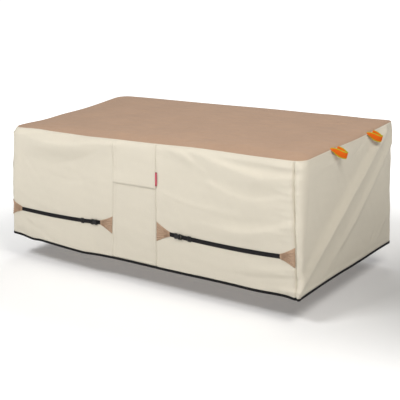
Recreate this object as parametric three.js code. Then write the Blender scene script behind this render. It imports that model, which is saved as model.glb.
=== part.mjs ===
// A fitted cloth cover for a rectangular patio dining set, as it hangs, with its straps and handles.
// Millimetres, +Z up. The origin lies under the middle of the top, where the table holds the cover.
import * as THREE from 'three';

// Driving dimensions of the cover
const LENGTH = 1920;
const WIDTH = 1110;
const DROP = 700; // from the top seam down to the line that heights are measured from
const HEM_LOW = -10; // lower edge of the hem binding, by that line
const CROWN = 18; // how far the flat of the top stands above its seam
const CLOTH = 2; // thickness of the cloth
const GAP = 0.32; // kept between sewn pieces
const RIM_INSET = 0.4 * GAP; // how the top's rim is drawn in and up to leave that gap
const RIM_RISE = 0.3 * GAP;
const SHOULDER = 10; // how far the walls swell outwards just below the top seam
const SHOULDER_BAND = 36; // height of that swelling
const CORNER_REACH = 50; // stretch of wall on each side of a corner that is rounded
const CORNER_SEAM = 36; // the right end panel wraps this far round the front corner
const TOTAL = 2 * (LENGTH + WIDTH);

// Places of the seams across the front, from its left corner, and of the lap in the middle panel
const SEAM_LEFT = 755;
const SEAM_RIGHT = 1045;
const LAP_HEIGHT = 450;
const LAP_OVERLAP = 12;
const LAP_LIFT = CLOTH + 0.8;
const LAP_FADE = 70;

const BINDING_HEIGHT = 14.5;
const BINDING_PROUD = 0.6;

// Trims on the front: what they measure, how far they lie off the cloth and how they are shaped
const WEBBING = { width: 21, thickness: 2, lift: 0.8 };
const PATCH = { thickness: 1.5, lift: 0.8, border: 2, gathers: 1.5, gather: 1.5, spread: 1.15 };
const BUCKLE = {
  socket: 32, plug: 17, width: 31, thickness: 9, lift: 0.8, clear: 1, neck: 6, shoulder: 5,
};
const SLIDE = { length: 21, width: 31, thickness: 3, bar: 4.6, taper: 1, lift: 0.4 };
const TAB = { width: 12, low: 468, high: 544, thickness: 1.2, lift: 0.8, curl: 3 };
// Lifting handles on the right end: their shape and where along the end they are sewn
const HANDLE = {
  span: 134, bow: 54, width: 38, thickness: 1.8, stand: 1.7, dip: 34, twist: 0.4, lean: 0.3, steps: 20,
};
const HANDLE_PLACES = { near: 340, far: 784 };

// The hung corners, each as its place off the true rectangle at the top seam and at the hem
const CORNERS = [
  { name: 'front left', seam: [32, 1, -26], hem: [-31, 4, 14], seamRadius: 62, hemRadius: 30 },
  { name: 'front right', seam: [-11, -1, 4], hem: [-2, -10, -5], seamRadius: 65, hemRadius: 30 },
  { name: 'back right', seam: [-5, 11, 20], hem: [34, 0, 4], seamRadius: 16, hemRadius: 28 },
  { name: 'back left', seam: [-11, -9, 0], hem: [-10, 4, 0], seamRadius: 75, hemRadius: 45 },
];

// The walls in order round the cover, with their sheets' grid spacing and the number of rows
const FRONT = { start: 0, length: LENGTH };
const END = { start: LENGTH, length: WIDTH };
const BACK = { start: LENGTH + WIDTH, length: LENGTH };
const LEFT = { start: 2 * LENGTH + WIDTH, length: WIDTH };
const SIDES = [FRONT, END, BACK, LEFT];
const COLUMN = 54;
const BINDING_TOP = HEM_LOW + BINDING_HEIGHT;
const HEM = BINDING_TOP + GAP;
const LOW_ROWS = [HEM, 50, 96, 142, 188, 232, 276, 320, 363, 407];
const FINE_ROWS = [...LOW_ROWS, LAP_HEIGHT, 492, 534, 576, 616, 648, 672, 688];
const PLAIN_ROWS = [HEM, 90, 180, 270, 360, LAP_HEIGHT, 540, 610, 655, 682];

// Slow rises and dips of the hem and of the top seam, each a soft hump at a place along a wall
const HEM_WAVES = [
  { wall: FRONT, at: 175, reach: 50, rise: -7 },
  { wall: FRONT, at: 275, reach: 60, rise: 4 },
  { wall: FRONT, at: 560, reach: 170, rise: -8 },
  { wall: FRONT, at: 1460, reach: 240, rise: 6 },
  { wall: FRONT, at: 1790, reach: 110, rise: 8 },
  { wall: END, at: 300, reach: 400, rise: 17 },
  { wall: END, at: 900, reach: 220, rise: 7 },
  { wall: BACK, at: 600, reach: 300, rise: -8 },
  { wall: BACK, at: 1450, reach: 260, rise: 6 },
  { wall: LEFT, at: 560, reach: 260, rise: 7 },
];
const SEAM_WAVES = [
  { wall: FRONT, at: 180, reach: 90, rise: 4 },
  { wall: FRONT, at: 560, reach: 120, rise: -3 },
  { wall: FRONT, at: 1320, reach: 240, rise: 6 },
  { wall: END, at: 620, reach: 260, rise: -9 },
  { wall: BACK, at: 800, reach: 340, rise: 4 },
  { wall: BACK, at: 330, reach: 180, rise: 3 },
  { wall: LEFT, at: 420, reach: 330, rise: -14 },
  { wall: LEFT, at: 830, reach: 150, rise: -8 },
];
// Where the cloth slides back along the wall towards the hem
const HEM_LEANS = [{ wall: FRONT, at: LENGTH - CORNER_SEAM, reach: 70, slide: -23 }];

// Folds. Each runs on a bowed line between two places, given along its wall and above the hem. It stands
// out by its rise (or lies in, below zero), falls away over its upper and lower widths, and has the given
// shares of its rise at its start and end.
const FOLD_COLUMNS = ['x0', 'h0', 'x1', 'h1', 'bow', 'rise', 'upper', 'lower', 'first', 'last'];
const FRONT_FOLDS = {
  'full front left corner': [-4, 150, -4, 690, 0, 17, 55, 55, 0.3, 1],
  'swag below the edge': [-15, 652, 752, 697, -50, 15, 30, 110, 0.1, 0.3],
  'hollow under the swag': [90, 545, 640, 590, -40, -5, 40, 60, 1, 1],
  'upper left drag trough': [30, 625, 400, 405, -78, -5, 28, 30, 0.2, 1],
  'middle left drag ridge': [5, 352, 230, 243, -15, 6, 42, 30, 0.1, 1],
  'low left drag ridge': [5, 100, 270, 5, -10, 6, 40, 30, 0.1, 1],
  'drag ridge to the middle seam': [345, 480, 745, 668, -34, 5, 30, 42, 0.4, 1],
  'outward hem on the left': [300, 0, 560, 0, 0, 12, 130, 60, 1, 1],
  'short ridge right of the middle': [1115, 676, 1350, 585, 8, 7, 26, 32, 1, 0.4],
  'long ridge down from the seam': [1270, 682, 1665, 602, 10, 10, 26, 40, 1, 1],
  'its run to the corner': [1690, 603, 1868, 630, -6, 8, 26, 40, 1, 0.3],
  'hollow below the long ridge': [1400, 555, 1840, 575, -25, -5, 25, 35, 0.4, 0.4],
  'middle swag on the right': [1395, 527, 1860, 530, -64, 7, 26, 34, 0.6, 0.5],
  'drag ridge from the tab': [1060, 450, 1570, 394, -33, 5, 32, 34, 0.6, 0.4],
  'lower swag on the right': [1320, 300, 1860, 372, -44, 6, 30, 40, 0.4, 0.6],
  'low drag ridge on the right': [1560, 105, 1860, 145, -12, 5, 26, 34, 0.3, 0.6],
};
const END_FOLDS = {
  'trough beside the corner seam': [-32, 160, -34, 690, 0, -5, 13, 13, 0.4, 1],
  'rolled front corner': [15, 190, 2, 700, 0, 6, 24, 30, 0.5, 1],
  'main diagonal fold': [-25, 62, 850, 618, 23, 27, 72, 33, 0.1, 0.7],
  'valley beside the main fold': [50, 45, 1010, 588, -4, -12, 26, 62, 0.3, 0.7],
  'second diagonal fold': [300, 90, 1090, 578, -8, 10, 36, 34, 0.6, 0.3],
  'flat behind the front corner': [130, 620, 240, 330, 0, -6, 70, 70, 1, 1],
  'drawn in back corner': [1112, 200, 1112, 700, 0, -9, 60, 60, 0.1, 1],
};
const BACK_FOLDS = {
  'swag on the right': [60, 625, 900, 640, -60, 8, 34, 90, 0.1, 0.6],
  'swag on the left': [980, 640, 1860, 625, -50, 7, 34, 90, 0.6, 0.1],
  'drag ridge on the left': [1350, 60, 1880, 430, -20, 9, 50, 40, 0.5, 0.1],
  'drag ridge on the right': [30, 380, 520, 80, 20, 9, 50, 45, 0.1, 0.5],
};
const LEFT_FOLDS = {
  'long diagonal fold': [150, 590, 1050, 100, -22, 14, 60, 40, 0.5, 0.1],
  'short fold at the back': [30, 90, 420, 380, 15, 9, 45, 40, 0.1, 0.5],
};

function foldTable(wall, rows) {
  return Object.values(rows).map((row) => {
    const fold = Object.fromEntries(FOLD_COLUMNS.map((column, k) => [column, row[k]]));
    return { wall, ...fold };
  });
}

const FOLDS = [
  ...foldTable(FRONT, FRONT_FOLDS),
  ...foldTable(END, END_FOLDS),
  ...foldTable(BACK, BACK_FOLDS),
  ...foldTable(LEFT, LEFT_FOLDS),
];
const FOLD_GROWTH = 0.4; // share of a fold's run over which it grows from each end
const FOLD_FADE = 60;

// Soft shoulders of the top above each edge, and shallow rises and dents of its flat
const SHOULDER_WIDTH = { left: 260, right: 26, front: 48, back: 110 };
const TOP_DENTS = [
  { x: -620, y: -150, reach: 190, rise: -4 },
  { x: -260, y: 190, reach: 240, rise: 3 },
  { x: 150, y: -260, reach: 150, rise: 4 },
  { x: 420, y: 120, reach: 260, rise: -4 },
  { x: 720, y: -200, reach: 170, rise: 3 },
];

const UP = new THREE.Vector3(0, 0, 1);
const ROUND = 0.5523; // Bézier handle of a quarter circle, by its radius
const STEP = 2; // distance over which slopes are taken

function clamp01(value) {
  return Math.min(1, Math.max(0, value));
}

function smooth(value) {
  const v = clamp01(value);
  return v * v * (3 - 2 * v);
}

function bell(distance, reach) {
  return Math.exp(-((distance / reach) ** 2));
}

// Distance along the perimeter from a wall's start, the short way round
function along(wall, p) {
  return p - wall.start - TOTAL * Math.round((p - wall.start - wall.length / 2) / TOTAL);
}

function waves(table, p, column) {
  const height = (wave) => wave[column] * bell(along(wave.wall, p) - wave.at, wave.reach);
  return table.reduce((sum, wave) => sum + height(wave), 0);
}

function relief(p, h) {
  let out = 0;
  for (const fold of FOLDS) {
    const x = along(fold.wall, p);
    const run = Math.hypot(fold.x1 - fold.x0, fold.h1 - fold.h0);
    const ex = (fold.x1 - fold.x0) / run;
    const eh = (fold.h1 - fold.h0) / run;
    const forward = (x - fold.x0) * ex + (h - fold.h0) * eh;
    const sideways = (h - fold.h0) * ex - (x - fold.x0) * eh;
    const share = clamp01(forward / run);
    const off = sideways - fold.bow * 4 * share * (1 - share);
    const beyond = Math.max(0, -forward, forward - run);
    const grown = THREE.MathUtils.lerp(fold.first, 1, smooth(share / FOLD_GROWTH));
    const fading = THREE.MathUtils.lerp(fold.last, 1, smooth((1 - share) / FOLD_GROWTH));
    const size = fold.rise * grown * fading * bell(beyond, FOLD_FADE);
    out += size * bell(off, off > 0 ? fold.upper : fold.lower);
  }
  return out;
}

function cornerPoint(index, share) {
  const c = CORNERS[index % 4];
  const signX = index % 4 === 0 || index % 4 === 3 ? -1 : 1;
  const signY = index % 4 < 2 ? -1 : 1;
  const level = new THREE.Vector3(signX * LENGTH / 2, signY * WIDTH / 2, 0);
  const seam = level.clone().add(new THREE.Vector3(...c.seam));
  const hem = level.add(new THREE.Vector3(...c.hem)).addScaledVector(UP, -DROP);
  return hem.lerp(seam, share);
}

// The rounded bend at a corner, from its start (0) through its middle (0.5) to its end (1)
function cornerBend(index, share, v) {
  const c = CORNERS[index % 4];
  const radius = THREE.MathUtils.lerp(c.hemRadius, c.seamRadius, share);
  const point = cornerPoint(index, share);
  const before = point.clone().sub(cornerPoint(index + 3, share)).normalize();
  const after = cornerPoint(index + 1, share).sub(point).normalize();
  const handle = ROUND * radius;
  const start = point.clone().addScaledVector(before, -radius);
  const end = point.clone().addScaledVector(after, radius);
  const first = start.clone().addScaledVector(before, handle);
  const second = end.clone().addScaledVector(after, -handle);
  return new THREE.CubicBezierCurve3(start, first, second, end).getPoint(v);
}

// Bare wall without its folds: p runs round the cover from the middle of the front left corner
function plan(p, h) {
  const place = ((p % TOTAL) + TOTAL) % TOTAL;
  const side = SIDES.findIndex((wall) => place < wall.start + wall.length);
  const { start, length } = SIDES[side];
  const q = place - start;
  const share = h / DROP;
  let point;
  if (q < CORNER_REACH) {
    point = cornerBend(side, share, 0.5 + 0.5 * q / CORNER_REACH);
  } else if (q > length - CORNER_REACH) {
    point = cornerBend(side + 1, share, 0.5 * (q - length + CORNER_REACH) / CORNER_REACH);
  } else {
    const from = cornerBend(side, share, 1);
    const to = cornerBend(side + 1, share, 0);
    point = from.lerp(to, (q - CORNER_REACH) / (length - 2 * CORNER_REACH));
  }
  point.z += waves(SEAM_WAVES, p, 'rise') * share + waves(HEM_WAVES, p, 'rise') * (1 - share);
  return point;
}

// Level direction straight out of the bare wall
function outwards(p, h) {
  const run = plan(p + STEP, h).sub(plan(p - STEP, h));
  return run.cross(UP).normalize();
}

// A point on the outer face of the wall
function wallPoint(p, h, lift = 0) {
  const leaned = p + waves(HEM_LEANS, p, 'slide') * (1 - h / DROP);
  const up = clamp01((h - DROP + SHOULDER_BAND) / SHOULDER_BAND);
  const swell = SHOULDER * clamp01(h / (DROP - SHOULDER_BAND)) + relief(p, h);
  return plan(leaned, h).addScaledVector(outwards(leaned, h), swell * (1 - up * up) + lift);
}

function wallNormal(p, h) {
  const across = wallPoint(p + STEP, h).sub(wallPoint(p - STEP, h));
  const rise = wallPoint(p, h + STEP / 2).sub(wallPoint(p, h - STEP / 2));
  return across.cross(rise).normalize();
}

// At the top seam both sheets are cut square to this direction, midway between them
function seamNormal(p) {
  return outwards(p, DROP).add(UP).normalize();
}

// Closed solid between an outer and an inner skin, each a grid of points in columns
function shell(outer, inner, ring = false) {
  const columns = outer.length;
  const rows = outer[0].length;
  const positions = [];
  for (const skin of [outer, inner]) {
    for (const column of skin) {
      for (const point of column) positions.push(point.x, point.y, point.z);
    }
  }
  const at = (i, j) => (i % columns) * rows + j;
  const back = columns * rows;
  const index = [];
  const quad = (a, b, c, d) => index.push(a, b, c, a, c, d);
  const cells = ring ? columns : columns - 1;
  for (let i = 0; i < cells; i += 1) {
    for (let j = 0; j < rows - 1; j += 1) {
      quad(at(i, j), at(i + 1, j), at(i + 1, j + 1), at(i, j + 1));
      quad(back + at(i, j), back + at(i, j + 1), back + at(i + 1, j + 1), back + at(i + 1, j));
    }
    quad(at(i + 1, 0), at(i, 0), back + at(i, 0), back + at(i + 1, 0));
    quad(at(i, rows - 1), at(i + 1, rows - 1), back + at(i + 1, rows - 1), back + at(i, rows - 1));
  }
  for (let j = 0; j < rows - 1 && !ring; j += 1) {
    const last = columns - 1;
    quad(at(0, j), at(0, j + 1), back + at(0, j + 1), back + at(0, j));
    quad(at(last, j + 1), at(last, j), back + at(last, j), back + at(last, j + 1));
  }
  const geometry = new THREE.BufferGeometry();
  geometry.setAttribute('position', new THREE.Float32BufferAttribute(positions, 3));
  geometry.setIndex(index);
  geometry.computeVertexNormals();
  return geometry;
}

// Every mark, with even steps of about the given size between them
function spread(marks, step) {
  const places = [marks[0]];
  for (let k = 1; k < marks.length; k += 1) {
    const count = Math.max(1, Math.round((marks[k] - marks[k - 1]) / step));
    for (let n = 1; n <= count; n += 1) {
      places.push(THREE.MathUtils.lerp(marks[k - 1], marks[k], n / count));
    }
  }
  return places;
}

// Places along one wall where its sheets and the top have their columns
function stops(length, cuts) {
  const bend = [0, CORNER_REACH / 2, CORNER_REACH];
  return spread([...bend, ...cuts, ...bend.map((mark) => length - mark).reverse()], COLUMN);
}

const FRONT_STOPS = stops(LENGTH, [SEAM_LEFT, SEAM_RIGHT]);
const END_STOPS = stops(WIDTH, []);
const ALL_STOPS = [
  ...FRONT_STOPS,
  ...END_STOPS.map((q) => END.start + q),
  ...FRONT_STOPS.map((q) => BACK.start + LENGTH - q).reverse(),
  ...END_STOPS.map((q) => LEFT.start + WIDTH - q).reverse(),
].filter((p, k, list) => k === 0 || p - list[k - 1] > 1);

// A wall sheet between two seams
function wallPanel(from, to, rows, lift = () => 0) {
  const between = ALL_STOPS.filter((p) => p > from + 1 && p < to - 1);
  const columns = [from + GAP / 2, ...between, to - GAP / 2];
  const outer = columns.map((p) => rows.map((h) => wallPoint(p, h, lift(h))));
  const inner = columns.map((p, i) => rows.map((h, j) => {
    const direction = h > DROP - 1 ? seamNormal(p) : wallNormal(p, h);
    return outer[i][j].clone().addScaledVector(direction, -CLOTH);
  }));
  return shell(outer, inner);
}

function toSeam(rows) {
  return [...rows, DROP - GAP / 2];
}

function lapLift(h) {
  return LAP_LIFT * (1 - smooth((h - LAP_HEIGHT - 2 * LAP_OVERLAP) / LAP_FADE));
}

// Height of the top above the surface that its seams alone would give
function crown(a, b) {
  const side = (share, size, width) => 1 - Math.exp(-share * size / width);
  const over = side(a, LENGTH, SHOULDER_WIDTH.left) * side(1 - a, LENGTH, SHOULDER_WIDTH.right)
    * side(b, WIDTH, SHOULDER_WIDTH.front) * side(1 - b, WIDTH, SHOULDER_WIDTH.back);
  const x = (a - 0.5) * LENGTH;
  const y = (b - 0.5) * WIDTH;
  const hump = (dent) => dent.rise * bell(Math.hypot(x - dent.x, y - dent.y), dent.reach);
  return TOP_DENTS.reduce((height, dent) => height + hump(dent), CROWN) * over;
}

// A point on the upper face of the top: its four seams, each fading inwards, with the crown on them
function topPoint(a, b) {
  const seam = (p) => wallPoint(p, DROP);
  const corners = [0, LENGTH, LENGTH + WIDTH, 2 * LENGTH + WIDTH].map(seam);
  const straight = (from, to, share) => corners[from].clone().lerp(corners[to], share);
  const point = straight(0, 1, a).lerp(straight(3, 2, a), b);
  const edges = [
    { seam: seam(a * LENGTH), chord: straight(0, 1, a), inward: b },
    { seam: seam(BACK.start + (1 - a) * LENGTH), chord: straight(3, 2, a), inward: 1 - b },
    { seam: seam(END.start + b * WIDTH), chord: straight(1, 2, b), inward: 1 - a },
    { seam: seam(LEFT.start + (1 - b) * WIDTH), chord: straight(0, 3, b), inward: a },
  ];
  for (const edge of edges) point.addScaledVector(edge.seam.sub(edge.chord), (1 - edge.inward) ** 3);
  point.z += crown(a, b);
  return point;
}

function topPanel() {
  const as = FRONT_STOPS.map((q) => q / LENGTH);
  const bs = END_STOPS.map((q) => q / WIDTH);
  const rimPlace = (i, j) => {
    if (j === 0) return FRONT_STOPS[i];
    if (j === bs.length - 1) return BACK.start + LENGTH - FRONT_STOPS[i];
    if (i === 0) return LEFT.start + WIDTH - END_STOPS[j];
    return END.start + END_STOPS[j];
  };
  const isRim = (i, j) => i === 0 || j === 0 || i === as.length - 1 || j === bs.length - 1;
  const outer = as.map((a, i) => bs.map((b, j) => {
    const point = topPoint(a, b);
    if (!isRim(i, j)) return point;
    const away = outwards(rimPlace(i, j), DROP);
    return point.addScaledVector(away, -RIM_INSET).addScaledVector(UP, RIM_RISE);
  }));
  const inner = outer.map((column, i) => column.map((point, j) => {
    if (isRim(i, j)) return point.clone().addScaledVector(seamNormal(rimPlace(i, j)), -CLOTH);
    const across = outer[i + 1][j].clone().sub(outer[i - 1][j]);
    const deep = column[j + 1].clone().sub(column[j - 1]);
    return point.clone().addScaledVector(across.cross(deep).normalize(), -CLOTH);
  }));
  return shell(outer, inner);
}

function hemBinding() {
  const rows = [HEM_LOW, BINDING_TOP];
  const places = ALL_STOPS.slice(0, -1);
  const skin = (depth) => places.map((p) => rows.map((h) => (
    wallPoint(p, h).addScaledVector(wallNormal(p, HEM), depth)
  )));
  return shell(skin(BINDING_PROUD), skin(-CLOTH - BINDING_PROUD), true);
}

// A point on the front wall's sheet itself, which is flat between its grid lines
function onSheet(p, h) {
  const i = Math.max(0, FRONT_STOPS.findLastIndex((stop) => stop <= p));
  const j = Math.max(0, FINE_ROWS.findLastIndex((row) => row <= h));
  const [p0, p1] = [FRONT_STOPS[i], FRONT_STOPS[i + 1]];
  const [h0, h1] = [FINE_ROWS[j], FINE_ROWS[j + 1]];
  const u = (p - p0) / (p1 - p0);
  const v = (h - h0) / (h1 - h0);
  const low = wallPoint(p0, h0);
  const high = wallPoint(p1, h1);
  const third = u >= v ? wallPoint(p1, h0) : wallPoint(p0, h1);
  const shares = u >= v ? [1 - u, v, u - v] : [1 - v, u, v - u];
  return low.multiplyScalar(shares[0]).addScaledVector(high, shares[1]).addScaledVector(third, shares[2]);
}

// A thin piece lying on the front wall: its middle line and half height are given along its length, and
// its crosswise lines lean back by its slope
function overlay({ places, middle, half, rows, lift, thickness, slope = () => 0 }) {
  const skin = (depth) => places.map((p) => rows.map((row) => {
    const aside = row * half(p);
    const point = onSheet(p - slope(p) * aside, middle(p) + aside);
    return point.addScaledVector(wallNormal(p, middle(p)), lift(p, row) + depth);
  }));
  return shell(skin(thickness), skin(0));
}

// Places along a trim, with one at each column of the sheet it lies on
function placesBetween(from, to, step) {
  const inside = FRONT_STOPS.filter((stop) => stop > from + STEP && stop < to - STEP);
  return spread([from, ...inside, to], step);
}

// Straps: the wide and the narrow ends of their patches, and where the buckle and slide lie between them
const STRAPS = [
  {
    side: 'left', patches: ['a', 'b'], buckleLeads: false,
    left: { wide: 3, wideLow: 113, wideHigh: 220, tip: 87, tipMiddle: 169 },
    right: { wide: 754, wideLow: 142, wideHigh: 247, tip: 672, tipMiddle: 195 },
    buckle: 606, slide: 547,
  },
  {
    side: 'right', patches: ['c', 'd'], buckleLeads: true,
    left: { wide: 1047, wideLow: 152, wideHigh: 267, tip: 1134, tipMiddle: 208 },
    right: { wide: 1880, wideLow: 157, wideHigh: 261, tip: 1786, tipMiddle: 208 },
    buckle: 1163, slide: 1257,
  },
];

function strapSlope(strap) {
  return (strap.right.tipMiddle - strap.left.tipMiddle) / (strap.right.tip - strap.left.tip);
}

function strapHeight(strap, p) {
  return strap.left.tipMiddle + strapSlope(strap) * (p - strap.left.tip);
}

function strapPatch(strap, end) {
  const share = (p) => (p - end.tip) / (end.wide - end.tip);
  const low = Math.min(end.wide, end.tip);
  const high = Math.max(end.wide, end.tip);
  const wideMiddle = (end.wideLow + end.wideHigh) / 2;
  const wideHalf = (end.wideHigh - end.wideLow) / 2;
  const tipHalf = WEBBING.width / 2 + PATCH.border;
  const wave = (row) => Math.abs(Math.sin(row * Math.PI * PATCH.gathers));
  const gathers = (p, row) => PATCH.gather * wave(row) * clamp01(3 * share(p));
  return overlay({
    places: placesBetween(low, high, 14),
    middle: (p) => THREE.MathUtils.lerp(end.tipMiddle, wideMiddle, share(p)),
    half: (p) => THREE.MathUtils.lerp(tipHalf, wideHalf, share(p) ** PATCH.spread),
    rows: [-1, -2 / 3, -1 / 3, 0, 1 / 3, 2 / 3, 1],
    lift: (p, row) => PATCH.lift + gathers(p, row),
    thickness: PATCH.thickness,
    slope: (p) => strapSlope(strap) * (1 - share(p)),
  });
}

function webbing(strap, from, to) {
  return overlay({
    places: placesBetween(from, to, 30),
    middle: (p) => strapHeight(strap, p),
    half: () => WEBBING.width / 2,
    rows: [-1, 0, 1],
    lift: () => WEBBING.lift,
    thickness: WEBBING.thickness,
    slope: () => strapSlope(strap),
  });
}

// The way along a strap over one hard fitting's length
function strapRun(strap, p) {
  const ahead = onSheet(p + BUCKLE.plug, strapHeight(strap, p + BUCKLE.plug));
  return ahead.sub(onSheet(p - BUCKLE.plug, strapHeight(strap, p - BUCKLE.plug)));
}

// Frame of a hard fitting on a strap: x along the strap, z out of the wall
function fittingFrame(strap, p, lift) {
  const h = strapHeight(strap, p);
  const z = wallNormal(p, h);
  const x = strapRun(strap, p);
  x.addScaledVector(z, -x.dot(z)).normalize();
  const y = z.clone().cross(x);
  const matrix = new THREE.Matrix4().makeBasis(x, y, z);
  return matrix.setPosition(onSheet(p, h).addScaledVector(z, lift));
}

function extruded(outline, thickness, holes = []) {
  const places = (line) => line.map(([x, y]) => new THREE.Vector2(x, y));
  const shape = new THREE.Shape(places(outline));
  for (const hole of holes) shape.holes.push(new THREE.Path(places(hole)));
  return new THREE.ExtrudeGeometry(shape, { depth: thickness, bevelEnabled: false, steps: 1 });
}

// Outline of one buckle half, with its outer end narrowed: length along x, mirrored where it points left
function buckleOutline(length, points) {
  const half = BUCKLE.width / 2;
  const lower = [[0, -half], [length - BUCKLE.neck, -half], [length, BUCKLE.shoulder - half]];
  const outline = [...lower, ...lower.map(([x, y]) => [x, -y]).reverse()];
  return points > 0 ? outline : outline.map(([x, y]) => [-x, y]).reverse();
}

// A three-bar slide: two slots, each a little shorter along the middle bar
function slideGeometry() {
  const half = SLIDE.width / 2;
  const reach = SLIDE.length / 2;
  const outerEdge = reach - SLIDE.bar;
  const innerEdge = SLIDE.bar / 2;
  const opening = half - SLIDE.bar;
  const inner = opening - SLIDE.taper;
  const slot = (way) => [
    [way * outerEdge, -opening],
    [way * outerEdge, opening],
    [way * innerEdge, inner],
    [way * innerEdge, -inner],
  ];
  const outline = [[-reach, -half], [reach, -half], [reach, half], [-reach, half]];
  return extruded(outline, SLIDE.thickness, [slot(-1), slot(1).reverse()]);
}

// A lifting handle: a strip sewn to the seam at both ends, bowed out, sagging, and turned upright in its
// middle, where it leans outwards
function handle(centre) {
  const p = END.start + centre;
  const origin = wallPoint(p, DROP);
  const out = outwards(p, DROP);
  const side = wallPoint(p + HANDLE.span / 2, DROP).sub(wallPoint(p - HANDLE.span / 2, DROP)).normalize();
  const upright = UP.clone().addScaledVector(out, HANDLE.lean).normalize();
  const middle = (turned) => {
    const bowed = Math.sin(turned);
    const point = origin.clone().addScaledVector(side, -Math.cos(turned) * HANDLE.span / 2);
    point.addScaledVector(out, HANDLE.stand + HANDLE.bow * bowed);
    return point.addScaledVector(UP, -HANDLE.dip * bowed);
  };
  const outer = [];
  const inner = [];
  for (let n = 0; n <= HANDLE.steps; n += 1) {
    const share = n / HANDLE.steps;
    const turned = Math.PI * share;
    const forward = middle(turned + 0.01).sub(middle(turned - 0.01)).normalize();
    const standing = smooth(Math.min(share, 1 - share) / HANDLE.twist);
    const twist = (share < 0.5 ? standing : 2 - standing) * Math.PI / 2;
    const width = side.clone().multiplyScalar(Math.cos(twist)).addScaledVector(upright, Math.sin(twist));
    width.addScaledVector(forward, -width.dot(forward)).setLength(HANDLE.width / 2);
    const face = forward.clone().cross(width).setLength(HANDLE.thickness / 2);
    const low = middle(turned).sub(width);
    const high = middle(turned).add(width);
    outer.push([low.clone().add(face), high.clone().add(face)]);
    inner.push([low.sub(face), high.sub(face)]);
  }
  return shell(outer, inner);
}

function sideTab() {
  const sewn = SEAM_RIGHT + TAB.lift;
  return overlay({
    places: spread([sewn, sewn + TAB.width], TAB.width / 2),
    middle: () => (TAB.low + TAB.high) / 2,
    half: () => (TAB.high - TAB.low) / 2,
    rows: [-1, -0.5, 0, 0.5, 1],
    lift: (p) => TAB.lift + TAB.curl * ((p - sewn) / TAB.width) ** 2,
    thickness: TAB.thickness,
  });
}

const FINISHES = {
  brownCloth: { color: 0xb59c86, roughness: 0.85, metalness: 0 },
  creamCloth: { color: 0xdcd5c5, roughness: 0.85, metalness: 0 },
  tanCloth: { color: 0xc2a58e, roughness: 0.85, metalness: 0 },
  blackTape: { color: 0x1e1c1e, roughness: 0.8, metalness: 0 },
  blackPlastic: { color: 0x18181a, roughness: 0.45, metalness: 0 },
  orangeWebbing: { color: 0xe8772b, roughness: 0.75, metalness: 0 },
  redTape: { color: 0xc8465a, roughness: 0.7, metalness: 0 },
};

const cover = new THREE.Group();

function addPart(name, geometry, finish, matrix = null) {
  const mesh = new THREE.Mesh(geometry, new THREE.MeshStandardMaterial(FINISHES[finish]));
  mesh.name = name;
  if (matrix) matrix.decompose(mesh.position, mesh.quaternion, mesh.scale);
  cover.add(mesh);
}

const LAP_TOP = LAP_HEIGHT + LAP_OVERLAP;
const LAP_ROWS_BELOW = [...FINE_ROWS.filter((h) => h <= LAP_HEIGHT), LAP_TOP];
const LAP_ROWS_ABOVE = [LAP_HEIGHT, LAP_TOP, ...FINE_ROWS.filter((h) => h > LAP_TOP)];
const FINE = toSeam(FINE_ROWS);
const PLAIN = toSeam(PLAIN_ROWS);
const CORNER = LENGTH - CORNER_SEAM;

addPart('top_panel', topPanel(), 'brownCloth');
addPart('front_left_panel', wallPanel(0, SEAM_LEFT, FINE), 'creamCloth');
const upper = wallPanel(SEAM_LEFT, SEAM_RIGHT, toSeam(LAP_ROWS_ABOVE), lapLift);
addPart('front_centre_upper', upper, 'creamCloth');
addPart('front_centre_lower', wallPanel(SEAM_LEFT, SEAM_RIGHT, LAP_ROWS_BELOW), 'creamCloth');
addPart('front_right_panel', wallPanel(SEAM_RIGHT, CORNER, FINE), 'creamCloth');
addPart('right_end_panel', wallPanel(CORNER, BACK.start, FINE), 'creamCloth');
addPart('back_panel', wallPanel(BACK.start, LEFT.start, PLAIN), 'creamCloth');
addPart('left_end_panel', wallPanel(LEFT.start, TOTAL, PLAIN), 'creamCloth');
addPart('hem_binding', hemBinding(), 'blackTape');

for (const strap of STRAPS) {
  const { side, left, right, buckle, slide, buckleLeads } = strap;
  const towardsPatch = buckleLeads ? -1 : 1;
  const before = buckleLeads ? BUCKLE.socket : BUCKLE.plug;
  const after = buckleLeads ? BUCKLE.plug : BUCKLE.socket;
  const split = buckle + before;
  const stretch = strapRun(strap, split).length() / (2 * BUCKLE.plug);
  addPart(`strap_patch_${strap.patches[0]}`, strapPatch(strap, left), 'tanCloth');
  addPart(`strap_patch_${strap.patches[1]}`, strapPatch(strap, right), 'tanCloth');
  const first = webbing(strap, left.tip + GAP, split - (before + BUCKLE.clear) / stretch);
  const second = webbing(strap, split + (after + BUCKLE.clear) / stretch, right.tip - GAP);
  addPart(`strap_${side}_long`, buckleLeads ? second : first, 'blackTape');
  addPart(`strap_${side}_short`, buckleLeads ? first : second, 'blackTape');
  const socket = extruded(buckleOutline(BUCKLE.socket - GAP, towardsPatch), BUCKLE.thickness);
  const plug = extruded(buckleOutline(BUCKLE.plug - GAP, -towardsPatch), BUCKLE.thickness);
  socket.translate(towardsPatch * GAP / 2, 0, 0);
  plug.translate(-towardsPatch * GAP / 2, 0, 0);
  const seat = fittingFrame(strap, split, BUCKLE.lift);
  addPart(`buckle_${side}_socket`, socket, 'blackPlastic', seat);
  addPart(`buckle_${side}_plug`, plug, 'blackPlastic', seat);
  const overWebbing = WEBBING.lift + WEBBING.thickness + SLIDE.lift;
  addPart(`slide_${side}`, slideGeometry(), 'blackPlastic', fittingFrame(strap, slide, overWebbing));
}

addPart('handle_near', handle(HANDLE_PLACES.near), 'orangeWebbing');
addPart('handle_far', handle(HANDLE_PLACES.far), 'orangeWebbing');
addPart('side_tab', sideTab(), 'redTape');

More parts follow.
